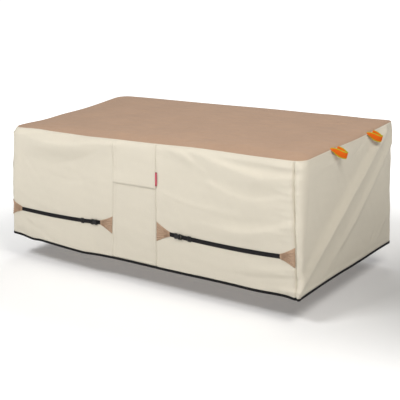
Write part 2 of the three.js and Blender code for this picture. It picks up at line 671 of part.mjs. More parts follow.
// The underside of the top's middle is the origin
cover.position.z = CLOTH - topPoint(0.5, 0.5).z;

export default cover;
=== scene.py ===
"""Patio dining set cover: sewn cloth, cinch straps, buckles, lifting handles and a small studio."""
import math
from collections import namedtuple

import bmesh
import bpy
import numpy as np
from bpy.props import FloatProperty, FloatVectorProperty, IntProperty, PointerProperty
from mathutils import Matrix, Vector


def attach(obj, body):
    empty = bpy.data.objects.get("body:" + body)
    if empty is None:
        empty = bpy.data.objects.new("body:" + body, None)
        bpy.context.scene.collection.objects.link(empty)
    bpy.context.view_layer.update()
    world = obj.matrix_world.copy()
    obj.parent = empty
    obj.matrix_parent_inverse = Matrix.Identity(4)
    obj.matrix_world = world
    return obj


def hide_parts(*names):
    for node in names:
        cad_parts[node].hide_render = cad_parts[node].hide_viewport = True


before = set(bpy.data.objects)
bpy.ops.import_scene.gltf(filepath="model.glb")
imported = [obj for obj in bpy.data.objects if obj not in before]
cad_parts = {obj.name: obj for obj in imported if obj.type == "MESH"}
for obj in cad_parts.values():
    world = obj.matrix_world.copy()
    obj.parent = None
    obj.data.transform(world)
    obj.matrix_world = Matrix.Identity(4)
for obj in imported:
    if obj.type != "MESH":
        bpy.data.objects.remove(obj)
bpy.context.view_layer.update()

bl_info = {
    "name": "Patio Dining Set Cover",
    "version": (1, 0, 0),
    "blender": (4, 5, 0),
    "location": "View3D > Sidebar > Cover",
    "description": "Sews a fitted cloth cover with straps, buckles and handles",
    "category": "Add Mesh",
}

# The hung shape, in millimetres. p runs round the cover from the middle of its front left corner, and h
# is the height above a level line just over the hem binding.
MM = 0.001
LENGTH = 1920.0
WIDTH = 1110.0
DROP = 700.0
HEM_LOW = -10.0
CROWN = 18.0
SHOULDER = 10.0
SHOULDER_BAND = 36.0
CORNER_REACH = 50.0
CORNER_SEAM = 36.0
TOTAL = 2 * (LENGTH + WIDTH)
SEAM_LEFT = 755.0
SEAM_RIGHT = 1045.0
SEAM_CORNER = LENGTH - CORNER_SEAM
LAP_HEIGHT = 450.0
LAP_OVERLAP = 12.0
LAP_FADE = 70.0
LAP_HEM = 24.0
SEAM_GAP = 0.32
ROUND = 0.5523  # Bézier handle of a quarter circle, by its radius
STEP = 2.0  # distance over which slopes are taken
SHARE_STEP = 0.003  # and the share of a handle's run

WALLS = {
    "front": (0.0, LENGTH),
    "end": (LENGTH, WIDTH),
    "back": (LENGTH + WIDTH, LENGTH),
    "left": (2 * LENGTH + WIDTH, WIDTH),
}
Corner = namedtuple("Corner", "side_x side_y seam hem seam_radius hem_radius")
CORNERS = (
    Corner(-1, -1, (32, 1, -26), (-31, 4, 14), 62, 30),
    Corner(1, -1, (-11, -1, 4), (-2, -10, -5), 65, 10),
    Corner(1, 1, (-5, 11, 20), (34, 0, 4), 16, 28),
    Corner(-1, 1, (-11, -9, 0), (-10, 4, 0), 75, 45),
)
Wave = namedtuple("Wave", "wall at reach rise")
HEM_WAVES = (
    Wave("front", 40, 120, 9),
    Wave("front", 185, 50, -6),
    Wave("front", 275, 60, 4),
    Wave("front", 560, 170, -8),
    Wave("front", 1460, 240, 6),
    Wave("front", 1790, 110, 8),
    Wave("end", 300, 400, 17),
    Wave("end", 900, 220, 7),
    Wave("back", 600, 300, -8),
    Wave("back", 1450, 260, 6),
    Wave("left", 560, 260, 7),
)
SEAM_WAVES = (
    Wave("front", 180, 90, 4),
    Wave("front", 560, 120, -3),
    Wave("front", 1320, 240, 6),
    Wave("end", 620, 260, -9),
    Wave("back", 800, 340, 4),
    Wave("back", 330, 180, 3),
    Wave("left", 420, 330, -14),
    Wave("left", 830, 150, -8),
)
HEM_LEANS = (Wave("front", SEAM_CORNER, 70, -23),)

# Each fold runs on a bowed line between two places on its wall. It stands out by its rise, falls away
# over its upper and lower widths, and has the given shares of its rise at its start and end.
Fold = namedtuple("Fold", "x0 h0 x1 h1 bow rise upper lower first last")
FOLDS = {
    "front": {
        "full front left corner": (-4, 150, -4, 690, 0, 11, 55, 55, 0.3, 0.8),
        "swag below the edge": (15, 660, 752, 712, -52, 34, 36, 75, 0.12, 0.4),
        "hollow under the swag": (90, 525, 640, 575, -40, -3, 36, 60, 1, 1),
        "upper left drag trough": (25, 610, 205, 415, -8, -1.6, 16, 18, 0.4, 0.4),
        "middle left drag ridge": (5, 352, 230, 243, -15, 3, 42, 30, 0.1, 1),
        "low left drag ridge": (5, 100, 270, 5, -10, 4, 40, 30, 0.1, 1),
        "drag ridge to the middle seam": (345, 480, 745, 668, -34, 4, 30, 42, 0.4, 1),
        "outward hem on the left": (300, 0, 560, 0, 0, 12, 130, 60, 1, 1),
        "short ridge right of the middle": (1168, 690, 1325, 602, 4, 9, 13, 40, 1, 0.3),
        "long ridge down from the seam": (1285, 686, 1660, 600, -12, 12, 20, 60, 0.8, 1),
        "its run to the corner": (1690, 600, 1868, 604, -3, 11, 20, 60, 1, 0.5),
        "hollow below the long ridge": (1480, 535, 1840, 550, -20, -1.5, 30, 35, 0.4, 0.4),
        "middle swag on the right": (1398, 522, 1862, 532, -62, 7, 17, 55, 0.6, 0.5),
        "drag ridge from the tab": (1060, 446, 1530, 386, -26, 4, 17, 50, 0.6, 0.4),
        "lower swag on the right": (1340, 296, 1860, 376, -42, 10, 20, 50, 0.3, 0.9),
        "hollow over the long ridge": (1470, 660, 1862, 640, -6, -5, 20, 20, 0.3, 0.8),
        "low drag ridge on the right": (1560, 105, 1860, 145, -12, 7, 22, 40, 0.3, 0.6),
    },
    "end": {
        "trough beside the corner seam": (-32, 160, -34, 690, 0, -5, 13, 13, 0.4, 1),
        "rolled front corner": (30, 190, -2, 700, 6, 5, 20, 34, 0.5, 1),
        "main diagonal fold": (-20, 10, 925, 665, 32, 33, 36, 30, 0.48, 0.8),
        "valley beside the main fold": (75, 5, 930, 590, 30, -3, 22, 60, 0.6, 0.6),
        "second diagonal fold": (300, 60, 1010, 570, -12, 12, 30, 20, 0.3, 0.9),
        "flat behind the front corner": (130, 620, 240, 330, 0, -3, 70, 70, 1, 1),
        "drawn in back corner": (1112, 150, 1112, 700, 0, -13, 60, 60, 0.2, 1),
    },
    "back": {
        "swag on the right": (60, 625, 900, 640, -60, 8, 34, 90, 0.1, 0.6),
        "swag on the left": (980, 640, 1860, 625, -50, 7, 34, 90, 0.6, 0.1),
        "drag ridge on the left": (1350, 60, 1880, 430, -20, 9, 50, 40, 0.5, 0.1),
        "drag ridge on the right": (30, 380, 520, 80, 20, 9, 50, 45, 0.1, 0.5),
    },
    "left": {
        "long diagonal fold": (150, 590, 1050, 100, -22, 14, 60, 40, 0.5, 0.1),
        "short fold at the back": (30, 90, 420, 380, 15, 9, 45, 40, 0.1, 0.5),
    },
}
# Creases too small for the solids
CREASES = {
    "front": {
        "groove under the seam": (-12, 681, 600, 695, -6, -5.5, 8, 9, 1, 0.3),
        "crease down the left": (300, 428, 620, 462, -22, -1.2, 14, 16, 0.4, 0.5),
        "line through the left swag": (395, 528, 625, 614, -6, -1.4, 9, 13, 0.6, 0.6),
        "line above it": (60, 560, 160, 415, -6, 1.4, 12, 12, 0.5, 0.5),
        "low left line": (20, 215, 190, 95, -8, 2.0, 14, 12, 0.3, 0.7),
        "second low left line": (60, 160, 330, 30, -10, -1.8, 12, 14, 0.3, 0.7),
        "finger right of the middle": (1100, 694, 1200, 650, 3, 2.0, 10, 14, 1, 0.3),
        "gap beside the finger": (1238, 694, 1300, 652, 2, -2.4, 10, 13, 1, 0.3),
        "loop in the middle right": (1385, 545, 1440, 478, -8, 0.8, 12, 16, 0.6, 1),
        "line from the tab": (1075, 430, 1330, 372, -12, -1.0, 10, 13, 0.8, 0.3),
        "low right line": (1500, 62, 1860, 100, -8, -4, 12, 14, 0.2, 0.9),
        "bottom right swell": (1740, 24, 1868, 32, -4, 6, 14, 13, 0.3, 1),
        "hollow over the lower swag": (1450, 350, 1715, 368, -10, -2.6, 20, 24, 0.5, 0.5),
        "line in the middle panel": (780, 620, 1010, 585, -10, -1.2, 18, 20, 0.5, 0.5),
        "low line in the middle panel": (775, 190, 930, 60, -8, -1.3, 16, 16, 0.4, 0.5),
    },
    "end": {
        "crease under the near handle": (95, 642, 357, 640, -14, 3.0, 12, 18, 0.4, 0.9),
        "crease between the handles": (500, 596, 700, 688, 4, -3.0, 10, 14, 0.3, 1),
        "line beside the corner roll": (62, 250, 47, 690, 0, -1.6, 16, 24, 0.3, 1),
        "crease low on the right": (807, 61, 859, 127, 0, -4, 12, 12, 0.5, 0.5),
        "second crease low on the right": (890, 70, 1030, 180, 0, 3.6, 14, 14, 0.5, 0.5),
        "drag from the back corner": (1090, 690, 1000, 520, 0, 3.0, 14, 16, 1, 0.2),
    },
    "back": {
        "drag at the right corner": (12, 520, 260, 610, -12, 3.0, 14, 18, 1, 0.3),
        "drag at the left corner": (1640, 600, 1905, 500, -10, 3.0, 14, 18, 0.3, 1),
        "loose line": (520, 330, 1150, 300, -26, 2.2, 22, 26, 0.3, 0.3),
    },
    "left": {
        "drag at the front corner": (840, 560, 1100, 660, -14, 3.0, 14, 18, 0.3, 1),
        "drag at the back corner": (10, 640, 240, 540, -10, 3.0, 14, 18, 1, 0.3),
    },
}
# Heights of the gathers beside the front right corner seam, and how their shapes vary
PUCKERS = (662, 612, 583, 536, 506, 455, 416, 362, 326, 292, 236, 143, 112, 62, 30)
PUCKER_START = 14.0
PUCKER_REACH = 115.0
PUCKER_REACH_VARIES = 45.0
PUCKER_RISE = 2.2
PUCKER_RISE_VARIES = 0.8
PUCKER_DRIFT = 9.0
FOLD_GROWTH = 0.4  # share of a fold's run over which it grows from each end
FOLD_FADE = 60.0

SHOULDER_WIDTH = {"left": 260, "right": 26, "back": 110}
FRONT_SLOPE = 105.0
FRONT_ROLL = 1.25
TOP_RIM = 60.0  # width beside the seams over which the ripples of the top begin
TOP_THICKNESS = 2.0  # of the top's solid, whose inside face holds the origin
Dent = namedtuple("Dent", "x y reach rise")
TOP_DENTS = (
    Dent(-620, -150, 190, -4),
    Dent(-260, 190, 240, 3),
    Dent(150, -260, 150, 4),
    Dent(420, 120, 260, -4),
    Dent(720, -200, 170, 3),
)
# Gentle uneven waves all over a cloth: across says how much closer they lie in the second direction
Ripple = namedtuple("Ripple", "rise size seed across")
WALL_RIPPLES = (Ripple(1.0, 190, 3, 1.0), Ripple(0.45, 70, 8, 1.0))
TOP_RIPPLES = (Ripple(1.6, 330, 21, 1.0), Ripple(0.9, 120, 34, 2.2))
RIPPLE_WAVES = 8
RIPPLE_LENGTHS = (0.6, 1.7)
CALM_UNDER_SEAM = 45.0
CALM_OVER_HEM = 60.0
HEM_SHARE = 0.35  # of the ripples' height that is left at the hem

Seam = namedtuple("Seam", "place depth width stitches")
SEAMS = (
    Seam(SEAM_LEFT, 1.6, 3.0, (4, 20)),
    Seam(SEAM_RIGHT, 3.6, 3.6, (-4, -17)),
    Seam(SEAM_CORNER, 9.0, 7.0, (-18,)),
    Seam(LENGTH + WIDTH, 1.6, 3.0, (6,)),
    Seam(2 * LENGTH + WIDTH, 1.6, 3.0, (-6,)),
    Seam(0.0, 1.6, 3.0, (6,)),
)
STITCH_DIP = 1.1
STITCH_DIP_WIDTH = 2.2

# Cinch straps: places along the front, heights over the hem line, and which half of the buckle is first
Patch = namedtuple("Patch", "name wide low high tip middle")
Strap = namedtuple("Strap", "side left right sag buckle slide buckle_leads")
STRAPS = (
    Strap(
        "left", Patch("a", 3, 116, 228, 96, 173), Patch("b", 754, 142, 247, 672, 199),
        sag=8, buckle=606, slide=547, buckle_leads=False,
    ),
    Strap(
        "right", Patch("c", 1047, 152, 267, 1134, 208), Patch("d", 1880, 157, 261, 1786, 203),
        sag=9, buckle=1163, slide=1257, buckle_leads=True,
    ),
)
STRAP_ENDS = tuple((strap, end) for strap in STRAPS for end in (strap.left, strap.right))
STRAP_GRIP = 34.0
STRAP_HOLD = 0.85
STRAP_FADE = 60.0
PATCH_FLARE = 1.25
PATCH_BORDER = 2.0
PATCH_LIFT = 1.2
PATCH_PUFF = 1.9
PATCH_SEAT = 0.25
PATCH_END = (1.04, 0.1)  # share at which it lies flat in its seam, and the share before it that falls
PATCH_EDGE = 0.14  # share of its half width that is sewn down flat
PATCH_ROWS = 57
PATCH_STEP = 3.2
PLEAT_RISE = 2.2
PLEAT_DRIFT = 0.35
PLEAT_ONSET = 5.0
PLEAT_FADE = 0.35  # share of its height that a pleat loses, from the same share of its run on
TIP_RISE = 0.8
WEBBING_LIFT = 0.9
WEBBING_TUCK = 5.0  # length that is hidden in a buckle half or under a patch
WEBBING_ROWS = 9
WEBBING_STEP = 4.0
WEBBING_EDGE = 0.35
BAR_RISE = 2.6
BAR_REACH = 4.5
SECOND_LAYER = 1.7  # lift of the webbing's folded back end
BUCKLE_SOCKET = 32.0
BUCKLE_PLUG = 17.0
BUCKLE_SEAT = 0.9
SLIDE_SEAT = 2.2
HANDLES = {"near": 340.0, "far": 784.0}
HANDLE_RUN = 180.0
HANDLE_STEPS = (3.2, 2.4)
HANDLE_EDGE = 0.74  # share of its half width at which the coloured edge begins
HANDLE_SPAN = 74.0
HANDLE_SHIFT = -24.0
HANDLE_SKEW = 46.0
HANDLE_BOW = 53.0
HANDLE_DIP = 20.0
HANDLE_STAND = 1.7
HANDLE_CUP = 1.6
HANDLE_TURN = 0.2  # rounding of the loop's outer end
HANDLE_TWISTS = (0.4, 0.34)  # shares of the run over which its two ends turn upright
HANDLE_LEAN = 0.2
TAB_LOW = 468.0
TAB_HIGH = 544.0
TAB_WIDTH = 8.5
TAB_FOLD = 1.3
TAB_OUT = 0.6  # distance from the seam line at which it comes out
TAB_LIFT = 1.8
TAB_CURL = 1.6
TAB_WAVE = 0.4
TAB_END = (9.0, 3.0)  # distances from its ends between which the tab grows darker

# Thicknesses and rib distances of the thin goods, in metres
PATCH_THICKNESS = 0.0009
WEBBING_THICKNESS = 0.0014
TAPE_THICKNESS = 0.0006
HANDLE_THICKNESS = 0.0018
BINDING_RIB = 0.0011
WEBBING_RIB = 0.0019
HANDLE_RIB = 0.0021
RIBBON_RIB = 0.0009
RIBBON_STRAND = 0.0006


def bell(distance, reach):
    return np.exp(-((distance / reach) ** 2))


def smooth(value):
    v = np.clip(value, 0, 1)
    return v * v * (3 - 2 * v)


def unit(vectors):
    return vectors / np.linalg.norm(vectors, axis=-1, keepdims=True)


def along(wall, p):
    """Distance along the perimeter from a wall's start, the short way round."""
    start, length = WALLS[wall]
    return p - start - TOTAL * np.round((p - start - length / 2) / TOTAL)


def waves(table, p):
    return sum(wave.rise * bell(along(wave.wall, p) - wave.at, wave.reach) for wave in table)


def fold_height(wall, row, p, h):
    """How far one fold lifts the cloth at each place."""
    fold = Fold(*row)
    x = along(wall, p)
    run = math.hypot(fold.x1 - fold.x0, fold.h1 - fold.h0)
    ex = (fold.x1 - fold.x0) / run
    eh = (fold.h1 - fold.h0) / run
    forward = (x - fold.x0) * ex + (h - fold.h0) * eh
    sideways = (h - fold.h0) * ex - (x - fold.x0) * eh
    share = np.clip(forward / run, 0, 1)
    off = sideways - fold.bow * 4 * share * (1 - share)
    beyond = np.maximum(0, np.maximum(-forward, forward - run))
    grown = fold.first + (1 - fold.first) * smooth(share / FOLD_GROWTH)
    fading = fold.last + (1 - fold.last) * smooth((1 - share) / FOLD_GROWTH)
    fade = min(FOLD_FADE, 0.5 * run)
    width = np.where(off > 0, fold.upper, fold.lower)
    return fold.rise * grown * fading * bell(beyond, fade) * bell(off, width)


def relief(tables, p, h):
    total = np.zeros(np.broadcast(p, h).shape)
    for wall, rows in tables.items():
        for row in rows.values():
            total += fold_height(wall, row, p, h)
    return total


def ripples(x, y, size, seed):
    """Gentle uneven waves about one unit high, the same on every run."""
    rng = np.random.default_rng(seed)
    total = 0
    for _ in range(RIPPLE_WAVES):
        angle = rng.uniform(0, math.pi)
        length = size * rng.uniform(*RIPPLE_LENGTHS)
        phase = rng.uniform(0, math.tau)
        total = total + np.sin(math.tau * (x * math.cos(angle) + y * math.sin(angle)) / length + phase)
    return total / math.sqrt(RIPPLE_WAVES)


def rippled(table, x, y):
    return sum(item.rise * ripples(x, y * item.across, item.size, item.seed) for item in table)


def corner_point(index, share):
    corner = CORNERS[index % 4]
    seam = np.array((corner.side_x * LENGTH / 2, corner.side_y * WIDTH / 2, 0)) + corner.seam
    hem = np.array((corner.side_x * LENGTH / 2, corner.side_y * WIDTH / 2, -DROP)) + corner.hem
    return hem + (seam - hem) * share[..., None]


def corner_bend(index, share, v):
    """The rounded bend at a corner, from its start (0) through its middle (0.5) to its end (1)."""
    corner = CORNERS[index % 4]
    radius = (corner.hem_radius + (corner.seam_radius - corner.hem_radius) * share)[..., None]
    point = corner_point(index, share)
    before = unit(point - corner_point(index + 3, share))
    after = unit(corner_point(index + 1, share) - point)
    start = point - before * radius
    end = point + after * radius
    first = start + before * radius * ROUND
    second = end - after * radius * ROUND
    v = v[..., None]
    w = 1 - v
    return w**3 * start + 3 * w * w * v * first + 3 * w * v * v * second + v**3 * end


def plan(p, h):
    """Bare wall without its folds."""
    p, h = np.broadcast_arrays(np.asarray(p, float), np.asarray(h, float))
    place = np.mod(p, TOTAL) % TOTAL
    share = h / DROP
    point = np.zeros(p.shape + (3,))
    for side, (start, length) in enumerate(WALLS.values()):
        here = (place >= start) & (place < start + length)
        if not here.any():
            continue
        q = place[here] - start
        level = share[here]
        first = corner_bend(side, level, 0.5 + 0.5 * np.clip(q / CORNER_REACH, 0, 1))
        last = corner_bend(side + 1, level, 0.5 * np.clip((q - length) / CORNER_REACH + 1, 0, 1))
        across = np.clip((q - CORNER_REACH) / (length - 2 * CORNER_REACH), 0, 1)[..., None]
        point[here] = first + (last - first) * across
    point[..., 2] += waves(SEAM_WAVES, p) * share + waves(HEM_WAVES, p) * (1 - share)
    return point


def outwards(p, h):
    """Level direction straight out of the bare wall."""
    run = plan(p + STEP, h) - plan(p - STEP, h)
    return unit(np.stack((run[..., 1], -run[..., 0], np.zeros(run.shape[:-1])), -1))


def strap_slope(strap):
    return (strap.right.middle - strap.left.middle) / (strap.right.tip - strap.left.tip)


def strap_height(strap, p):
    """Middle of a strap: a taut line that keeps clear of the waves of the hem."""
    first, last = strap.left.tip, strap.right.tip
    share = np.clip((p - first) / (last - first), 0, 1)
    height = strap.left.middle + strap_slope(strap) * (p - first) - strap.sag * 4 * share * (1 - share)
    level = waves(HEM_WAVES, first) * (1 - share) + waves(HEM_WAVES, last) * share
    return height - (waves(HEM_WAVES, p) - level) * (1 - height / DROP)


def slack(p, h):
    """How free the wall is to fold: a taut strap holds the cloth under it flat."""
    held = 0
    for strap in STRAPS:
        inside = smooth((p - strap.left.wide) / STRAP_FADE) * smooth((strap.right.wide - p) / STRAP_FADE)
        held = held + inside * bell(h - strap_height(strap, p), STRAP_GRIP)
    return 1 - STRAP_HOLD * held


def pucker(height):
    """A short gather that starts at the corner seam, each a little unlike the next."""
    reach = PUCKER_REACH + PUCKER_REACH_VARIES * math.sin(1.7 * height)
    rise = PUCKER_RISE + PUCKER_RISE_VARIES * math.sin(2.3 * height)
    end = height + PUCKER_DRIFT * math.sin(height)
    return Fold(
        SEAM_CORNER - PUCKER_START, height, SEAM_CORNER - reach, end,
        bow=3, rise=rise, upper=10, lower=14, first=1, last=0.1,
    )


def wall_detail(p, h):
    """Small forms of the wall cloth: seam grooves, creases, gathers and ripples."""
    over_hem = HEM_SHARE + (1 - HEM_SHARE) * smooth((h - HEM_LOW) / CALM_OVER_HEM)
    out = rippled(WALL_RIPPLES, p, h) * (smooth((DROP - h) / CALM_UNDER_SEAM) * over_hem)
    out = out + relief(CREASES, p, h)
    for height in PUCKERS:
        out = out + fold_height("front", pucker(height), p, h)
    for seam in SEAMS:
        off = p - seam.place - TOTAL * np.round((p - seam.place) / TOTAL)
        out = out - seam.depth * bell(off, seam.width)
        for stitch in seam.stitches:
            out = out - STITCH_DIP * bell(off - stitch, STITCH_DIP_WIDTH)
    return out


def wall_point(p, h, lift=0.0, detail=True):
    """A point on the outer face of the wall."""
    p, h = np.broadcast_arrays(np.asarray(p, float), np.asarray(h, float))
    leaned = p + waves(HEM_LEANS, p) * (1 - h / DROP)
    up = np.clip((h - DROP + SHOULDER_BAND) / SHOULDER_BAND, 0, 1)
    swell = SHOULDER * np.clip(h / (DROP - SHOULDER_BAND), 0, 1) + relief(FOLDS, p, h) * slack(p, h)
    if detail:
        swell = swell + wall_detail(p, h)
    return plan(leaned, h) + outwards(leaned, h) * (swell * (1 - up * up) + lift)[..., None]


def wall_normal(p, h):
    """The way out of the wall, without its small forms."""
    across = wall_point(p + STEP, h, detail=False) - wall_point(p - STEP, h, detail=False)
    rise = wall_point(p, h + STEP / 2, detail=False) - wall_point(p, h - STEP / 2, detail=False)
    return unit(np.cross(across, rise))


def crown(a, b):
    """How far the top stands above its seams, with its soft shoulders and dents."""

    def side(share, size, width):
        return 1 - np.exp(-share * size / width)

    over = side(a, LENGTH, SHOULDER_WIDTH["left"]) * side(1 - a, LENGTH, SHOULDER_WIDTH["right"])
    slope = 1 - np.maximum(0, 1 - b * WIDTH / FRONT_SLOPE) ** FRONT_ROLL
    over = over * slope * side(1 - b, WIDTH, SHOULDER_WIDTH["back"])
    x = (a - 0.5) * LENGTH
    y = (b - 0.5) * WIDTH
    dents = sum(dent.rise * bell(np.hypot(x - dent.x, y - dent.y), dent.reach) for dent in TOP_DENTS)
    return (CROWN + dents) * over


def top_point(a, b, detail=True):
    """A point on the upper face of the top: its four seams, each fading inwards, and the crown on them."""
    a, b = np.broadcast_arrays(np.asarray(a, float), np.asarray(b, float))

    def seam(p):
        return wall_point(p, DROP, detail=False)

    corners = [seam(p) for p in (0.0, LENGTH, LENGTH + WIDTH, 2 * LENGTH + WIDTH)]

    def chord(first, last, share):
        return corners[first] + (corners[last] - corners[first]) * share[..., None]

    point = chord(0, 1, a) * (1 - b)[..., None] + chord(3, 2, a) * b[..., None]
    edges = (
        (seam(a * LENGTH) - chord(0, 1, a), b),
        (seam(WALLS["back"][0] + (1 - a) * LENGTH) - chord(3, 2, a), 1 - b),
        (seam(WALLS["end"][0] + b * WIDTH) - chord(1, 2, b), 1 - a),
        (seam(WALLS["left"][0] + (1 - b) * WIDTH) - chord(0, 3, b), a),
    )
    for offset, inward in edges:
        point = point + offset * ((1 - inward) ** 3)[..., None]
    rise = crown(a, b)
    if detail:
        x = a * LENGTH
        y = b * WIDTH
        rim = smooth(np.minimum(np.minimum(x, LENGTH - x), np.minimum(y, WIDTH - y)) / TOP_RIM)
        rise = rise + rippled(TOP_RIPPLES, x, y) * rim
    point[..., 2] += rise
    return point


LIFT_TO_ORIGIN = TOP_THICKNESS - float(top_point(0.5, 0.5, detail=False)[2])


def metres(points):
    """Places of the hung shape as places in the frame."""
    return (np.asarray(points) + (0, 0, LIFT_TO_ORIGIN)) * MM


def spread(marks, step):
    """Every mark, with even steps of about the given size between them."""
    places = [marks[0]]
    for low, high in zip(marks, marks[1:]):
        count = max(1, round((high - low) / step))
        places.extend(low + (high - low) * n / count for n in range(1, count + 1))
    return np.array(places, float)


def from_both_ends(low, high, distances):
    """Places at the same distances in from both ends."""
    return [*[low + n for n in distances], *[high - n for n in reversed(distances)]]


def seam_marks(low, high, step):
    """Columns for a sheet, close together beside its seams and stitch lines."""
    near = (0, 1.5, 3, 5, 8, 12, 17, 20, 24, 32)
    return spread(from_both_ends(low + SEAM_GAP / 2, high - SEAM_GAP / 2, near), step)


class Signal:
    """A shader socket that sums, products and comparisons can be written with."""

    def __init__(self, finish, socket):
        self.finish = finish
        self.socket = socket

    def math(self, operation, *others):
        return self.finish.node("ShaderNodeMath", {"operation": operation}, (self, *others))

    def __add__(self, other):
        return self.math("ADD", other)

    def __radd__(self, other):
        return self.math("ADD", other)

    def __sub__(self, other):
        return self.math("SUBTRACT", other)

    def __rsub__(self, other):
        return self.finish.node("ShaderNodeMath", {"operation": "SUBTRACT"}, (other, self))

    def __mul__(self, other):
        return self.math("MULTIPLY", other)

    def __rmul__(self, other):
        return self.math("MULTIPLY", other)

    def __gt__(self, other):
        return self.math("GREATER_THAN", other)

    def __abs__(self):
        return self.math("ABSOLUTE")

    def sine(self):
        return self.math("SINE")


class Finish:
    """A material with one principled shader, and a short way to add nodes to it."""

    def __init__(self, name, specular, roughness=0.8, sheen=0.0, sheen_roughness=0.5):
        self.material = bpy.data.materials.new(name)
        self.material.use_nodes = True
        self.tree = self.material.node_tree
        self.tree.nodes.clear()
        output = self.tree.nodes.new("ShaderNodeOutputMaterial")
        self.shader = self.tree.nodes.new("ShaderNodeBsdfPrincipled")
        self.tree.links.new(self.shader.outputs["BSDF"], output.inputs["Surface"])
        self.shader.inputs["Roughness"].default_value = roughness
        self.shader.inputs["Specular IOR Level"].default_value = specular
        self.shader.inputs["Sheen Weight"].default_value = sheen
        self.shader.inputs["Sheen Roughness"].default_value = sheen_roughness

    def put(self, socket, value):
        if isinstance(value, Signal):
            self.tree.links.new(value.socket, socket)
        else:
            socket.default_value = value

    def node(self, kind, settings=None, inputs=(), output=0):
        """Adds a node: its settings first, then the values or links of its sockets."""
        node = self.tree.nodes.new(kind)
        for name, value in (settings or {}).items():
            setattr(node, name, value)
        pairs = inputs.items() if isinstance(inputs, dict) else enumerate(inputs)
        for key, value in pairs:
            self.put(node.inputs[key], value)
        return Signal(self, node.outputs[output])

    def split(self, vector):
        return [self.node("ShaderNodeSeparateXYZ", None, (vector,), axis) for axis in range(3)]

    def cloth_place(self):
        """Distances along and up the cloth, in metres."""
        place = self.node("ShaderNodeUVMap", {"uv_map": "cloth"})
        along_cloth, up_cloth, _ = self.split(place)
        return place, along_cloth, up_cloth

    def object_place(self):
        return self.node("ShaderNodeTexCoord", None, (), 3)

    def eased(self, value, start, end, first=0.0):
        """Goes smoothly from the first value to 1 while the signal goes from start to end."""
        settings = {"interpolation_type": "SMOOTHSTEP"}
        return self.node("ShaderNodeMapRange", settings, (value, start, end, first, 1.0))

    def noise(self, vector, scale, detail=3.0, roughness=0.5):
        inputs = {"Vector": vector, "Scale": scale, "Detail": detail, "Roughness": roughness}
        return self.node("ShaderNodeTexNoise", None, inputs)

    def stretched(self, vector, scale):
        """The same vector with each axis scaled on its own."""
        return self.node("ShaderNodeMapping", None, {"Vector": vector, "Scale": scale})

    def blend(self, factor, first, second):
        """Colour between two, by a factor."""
        inputs = {0: factor, 6: rgba(first), 7: rgba(second)}
        return self.node("ShaderNodeMix", {"data_type": "RGBA"}, inputs, 2)

    def shade(self, colour, brightness):
        """A colour made lighter or darker by a signal around 1."""
        grey = self.node("ShaderNodeCombineXYZ", None, (brightness, brightness, brightness))
        return self.node("ShaderNodeVectorMath", {"operation": "MULTIPLY"}, (rgb(colour), grey))

    def colour(self, value):
        self.put(self.shader.inputs["Base Color"], value)

    def roughness(self, value):
        self.put(self.shader.inputs["Roughness"], value)

    def bump(self, height, distance, strength, below=None):
        inputs = {"Height": height, "Distance": distance, "Strength": strength}
        if below is not None:
            inputs["Normal"] = below
        normal = self.node("ShaderNodeBump", None, inputs)
        self.put(self.shader.inputs["Normal"], normal)
        return normal


def rgba(colour):
    return colour if isinstance(colour, Signal) else (*tuple(colour)[:3], 1.0)


def rgb(colour):
    return colour if isinstance(colour, Signal) else tuple(colour)[:3]


def woven_cloth(name, colour, pitch, sheen=0.05, mottle=0.05, specular=0.14, crumple=0.0006):
    """Plain woven polyester with a thin coating: crossed threads, slubs and a slightly uneven dye."""
    finish = Finish(name, specular=specular, sheen=sheen, sheen_roughness=0.45)
    place, x, y = finish.cloth_place()
    warp = (x * (math.pi / pitch)).sine()
    weft = (y * (math.pi / pitch)).sine()
    over = (warp * weft) > 0.0
    threads = over * abs(warp) + (1.0 - over) * abs(weft)
    slub = finish.noise(finish.stretched(place, (40.0, 900.0, 1.0)), 1.0, detail=2.0)
    cross_slub = finish.noise(finish.stretched(place, (900.0, 40.0, 1.0)), 1.0, detail=2.0)
    cloud = finish.noise(place, 4.5, detail=4.0, roughness=0.6)
    patchy = finish.noise(place, 26.0, roughness=0.55)
    # Brightness of the cloth: random tone from the noises, and the higher of the crossed threads painted
    # lighter than the lower ones, a painted shade of the weave.
    light = 1.0 + (cloud - 0.5) * mottle + (patchy - 0.5) * (mottle * 0.5) + (slub - 0.5) * 0.05
    light = light + (cross_slub - 0.5) * 0.05 + (threads - 0.6) * 0.05
    finish.colour(finish.shade(colour, light))
    finish.roughness(0.74 + cloud * 0.1 + threads * 0.04)
    creases = finish.bump(patchy + cloud * 2.0, distance=crumple * 2.0, strength=0.5)
    weave = threads + (slub + cross_slub) * 0.6
    finish.bump(weave, distance=0.00022, strength=0.6, below=creases)
    return finish.material


def ribbed_tape(name, colour, rib, edge_colour=None, edge_from=1.0, half=1.0, gloss=0.16):
    """Woven tape: ribs across it, a faint chevron, and edges that may have a colour of their own."""
    finish = Finish(name, roughness=0.75, specular=gloss)
    place, x, y = finish.cloth_place()
    ribs = abs((x * (math.pi / rib)).sine())
    chevron = abs(((x + abs(y) * 0.8) * (math.pi / (rib * 2.3))).sine())
    strands = abs((y * (math.pi / (rib * 0.9))).sine())
    cloud = finish.noise(place, 30.0)
    fuzz = finish.noise(place, 1400.0, detail=2.0)
    height = ribs * 0.5 + chevron * 0.5 + strands * 0.35
    # Brightness follows the height of the ribs, chevron and strands, a painted shade in the weave's
    # hollows, plus random tone from the noises.
    light = 0.86 + height * 0.16 + (cloud - 0.5) * 0.12 + (fuzz - 0.5) * 0.12
    tone = colour
    if edge_colour is not None:
        edge = finish.eased(abs(y), edge_from * half * 0.93, edge_from * half * 1.05)
        tone = finish.blend(edge, colour, edge_colour)
    finish.colour(finish.shade(tone, light))
    finish.roughness(0.62 + height * 0.16)
    finish.bump(height + fuzz * 0.3, distance=0.0003, strength=0.7)
    return finish.material


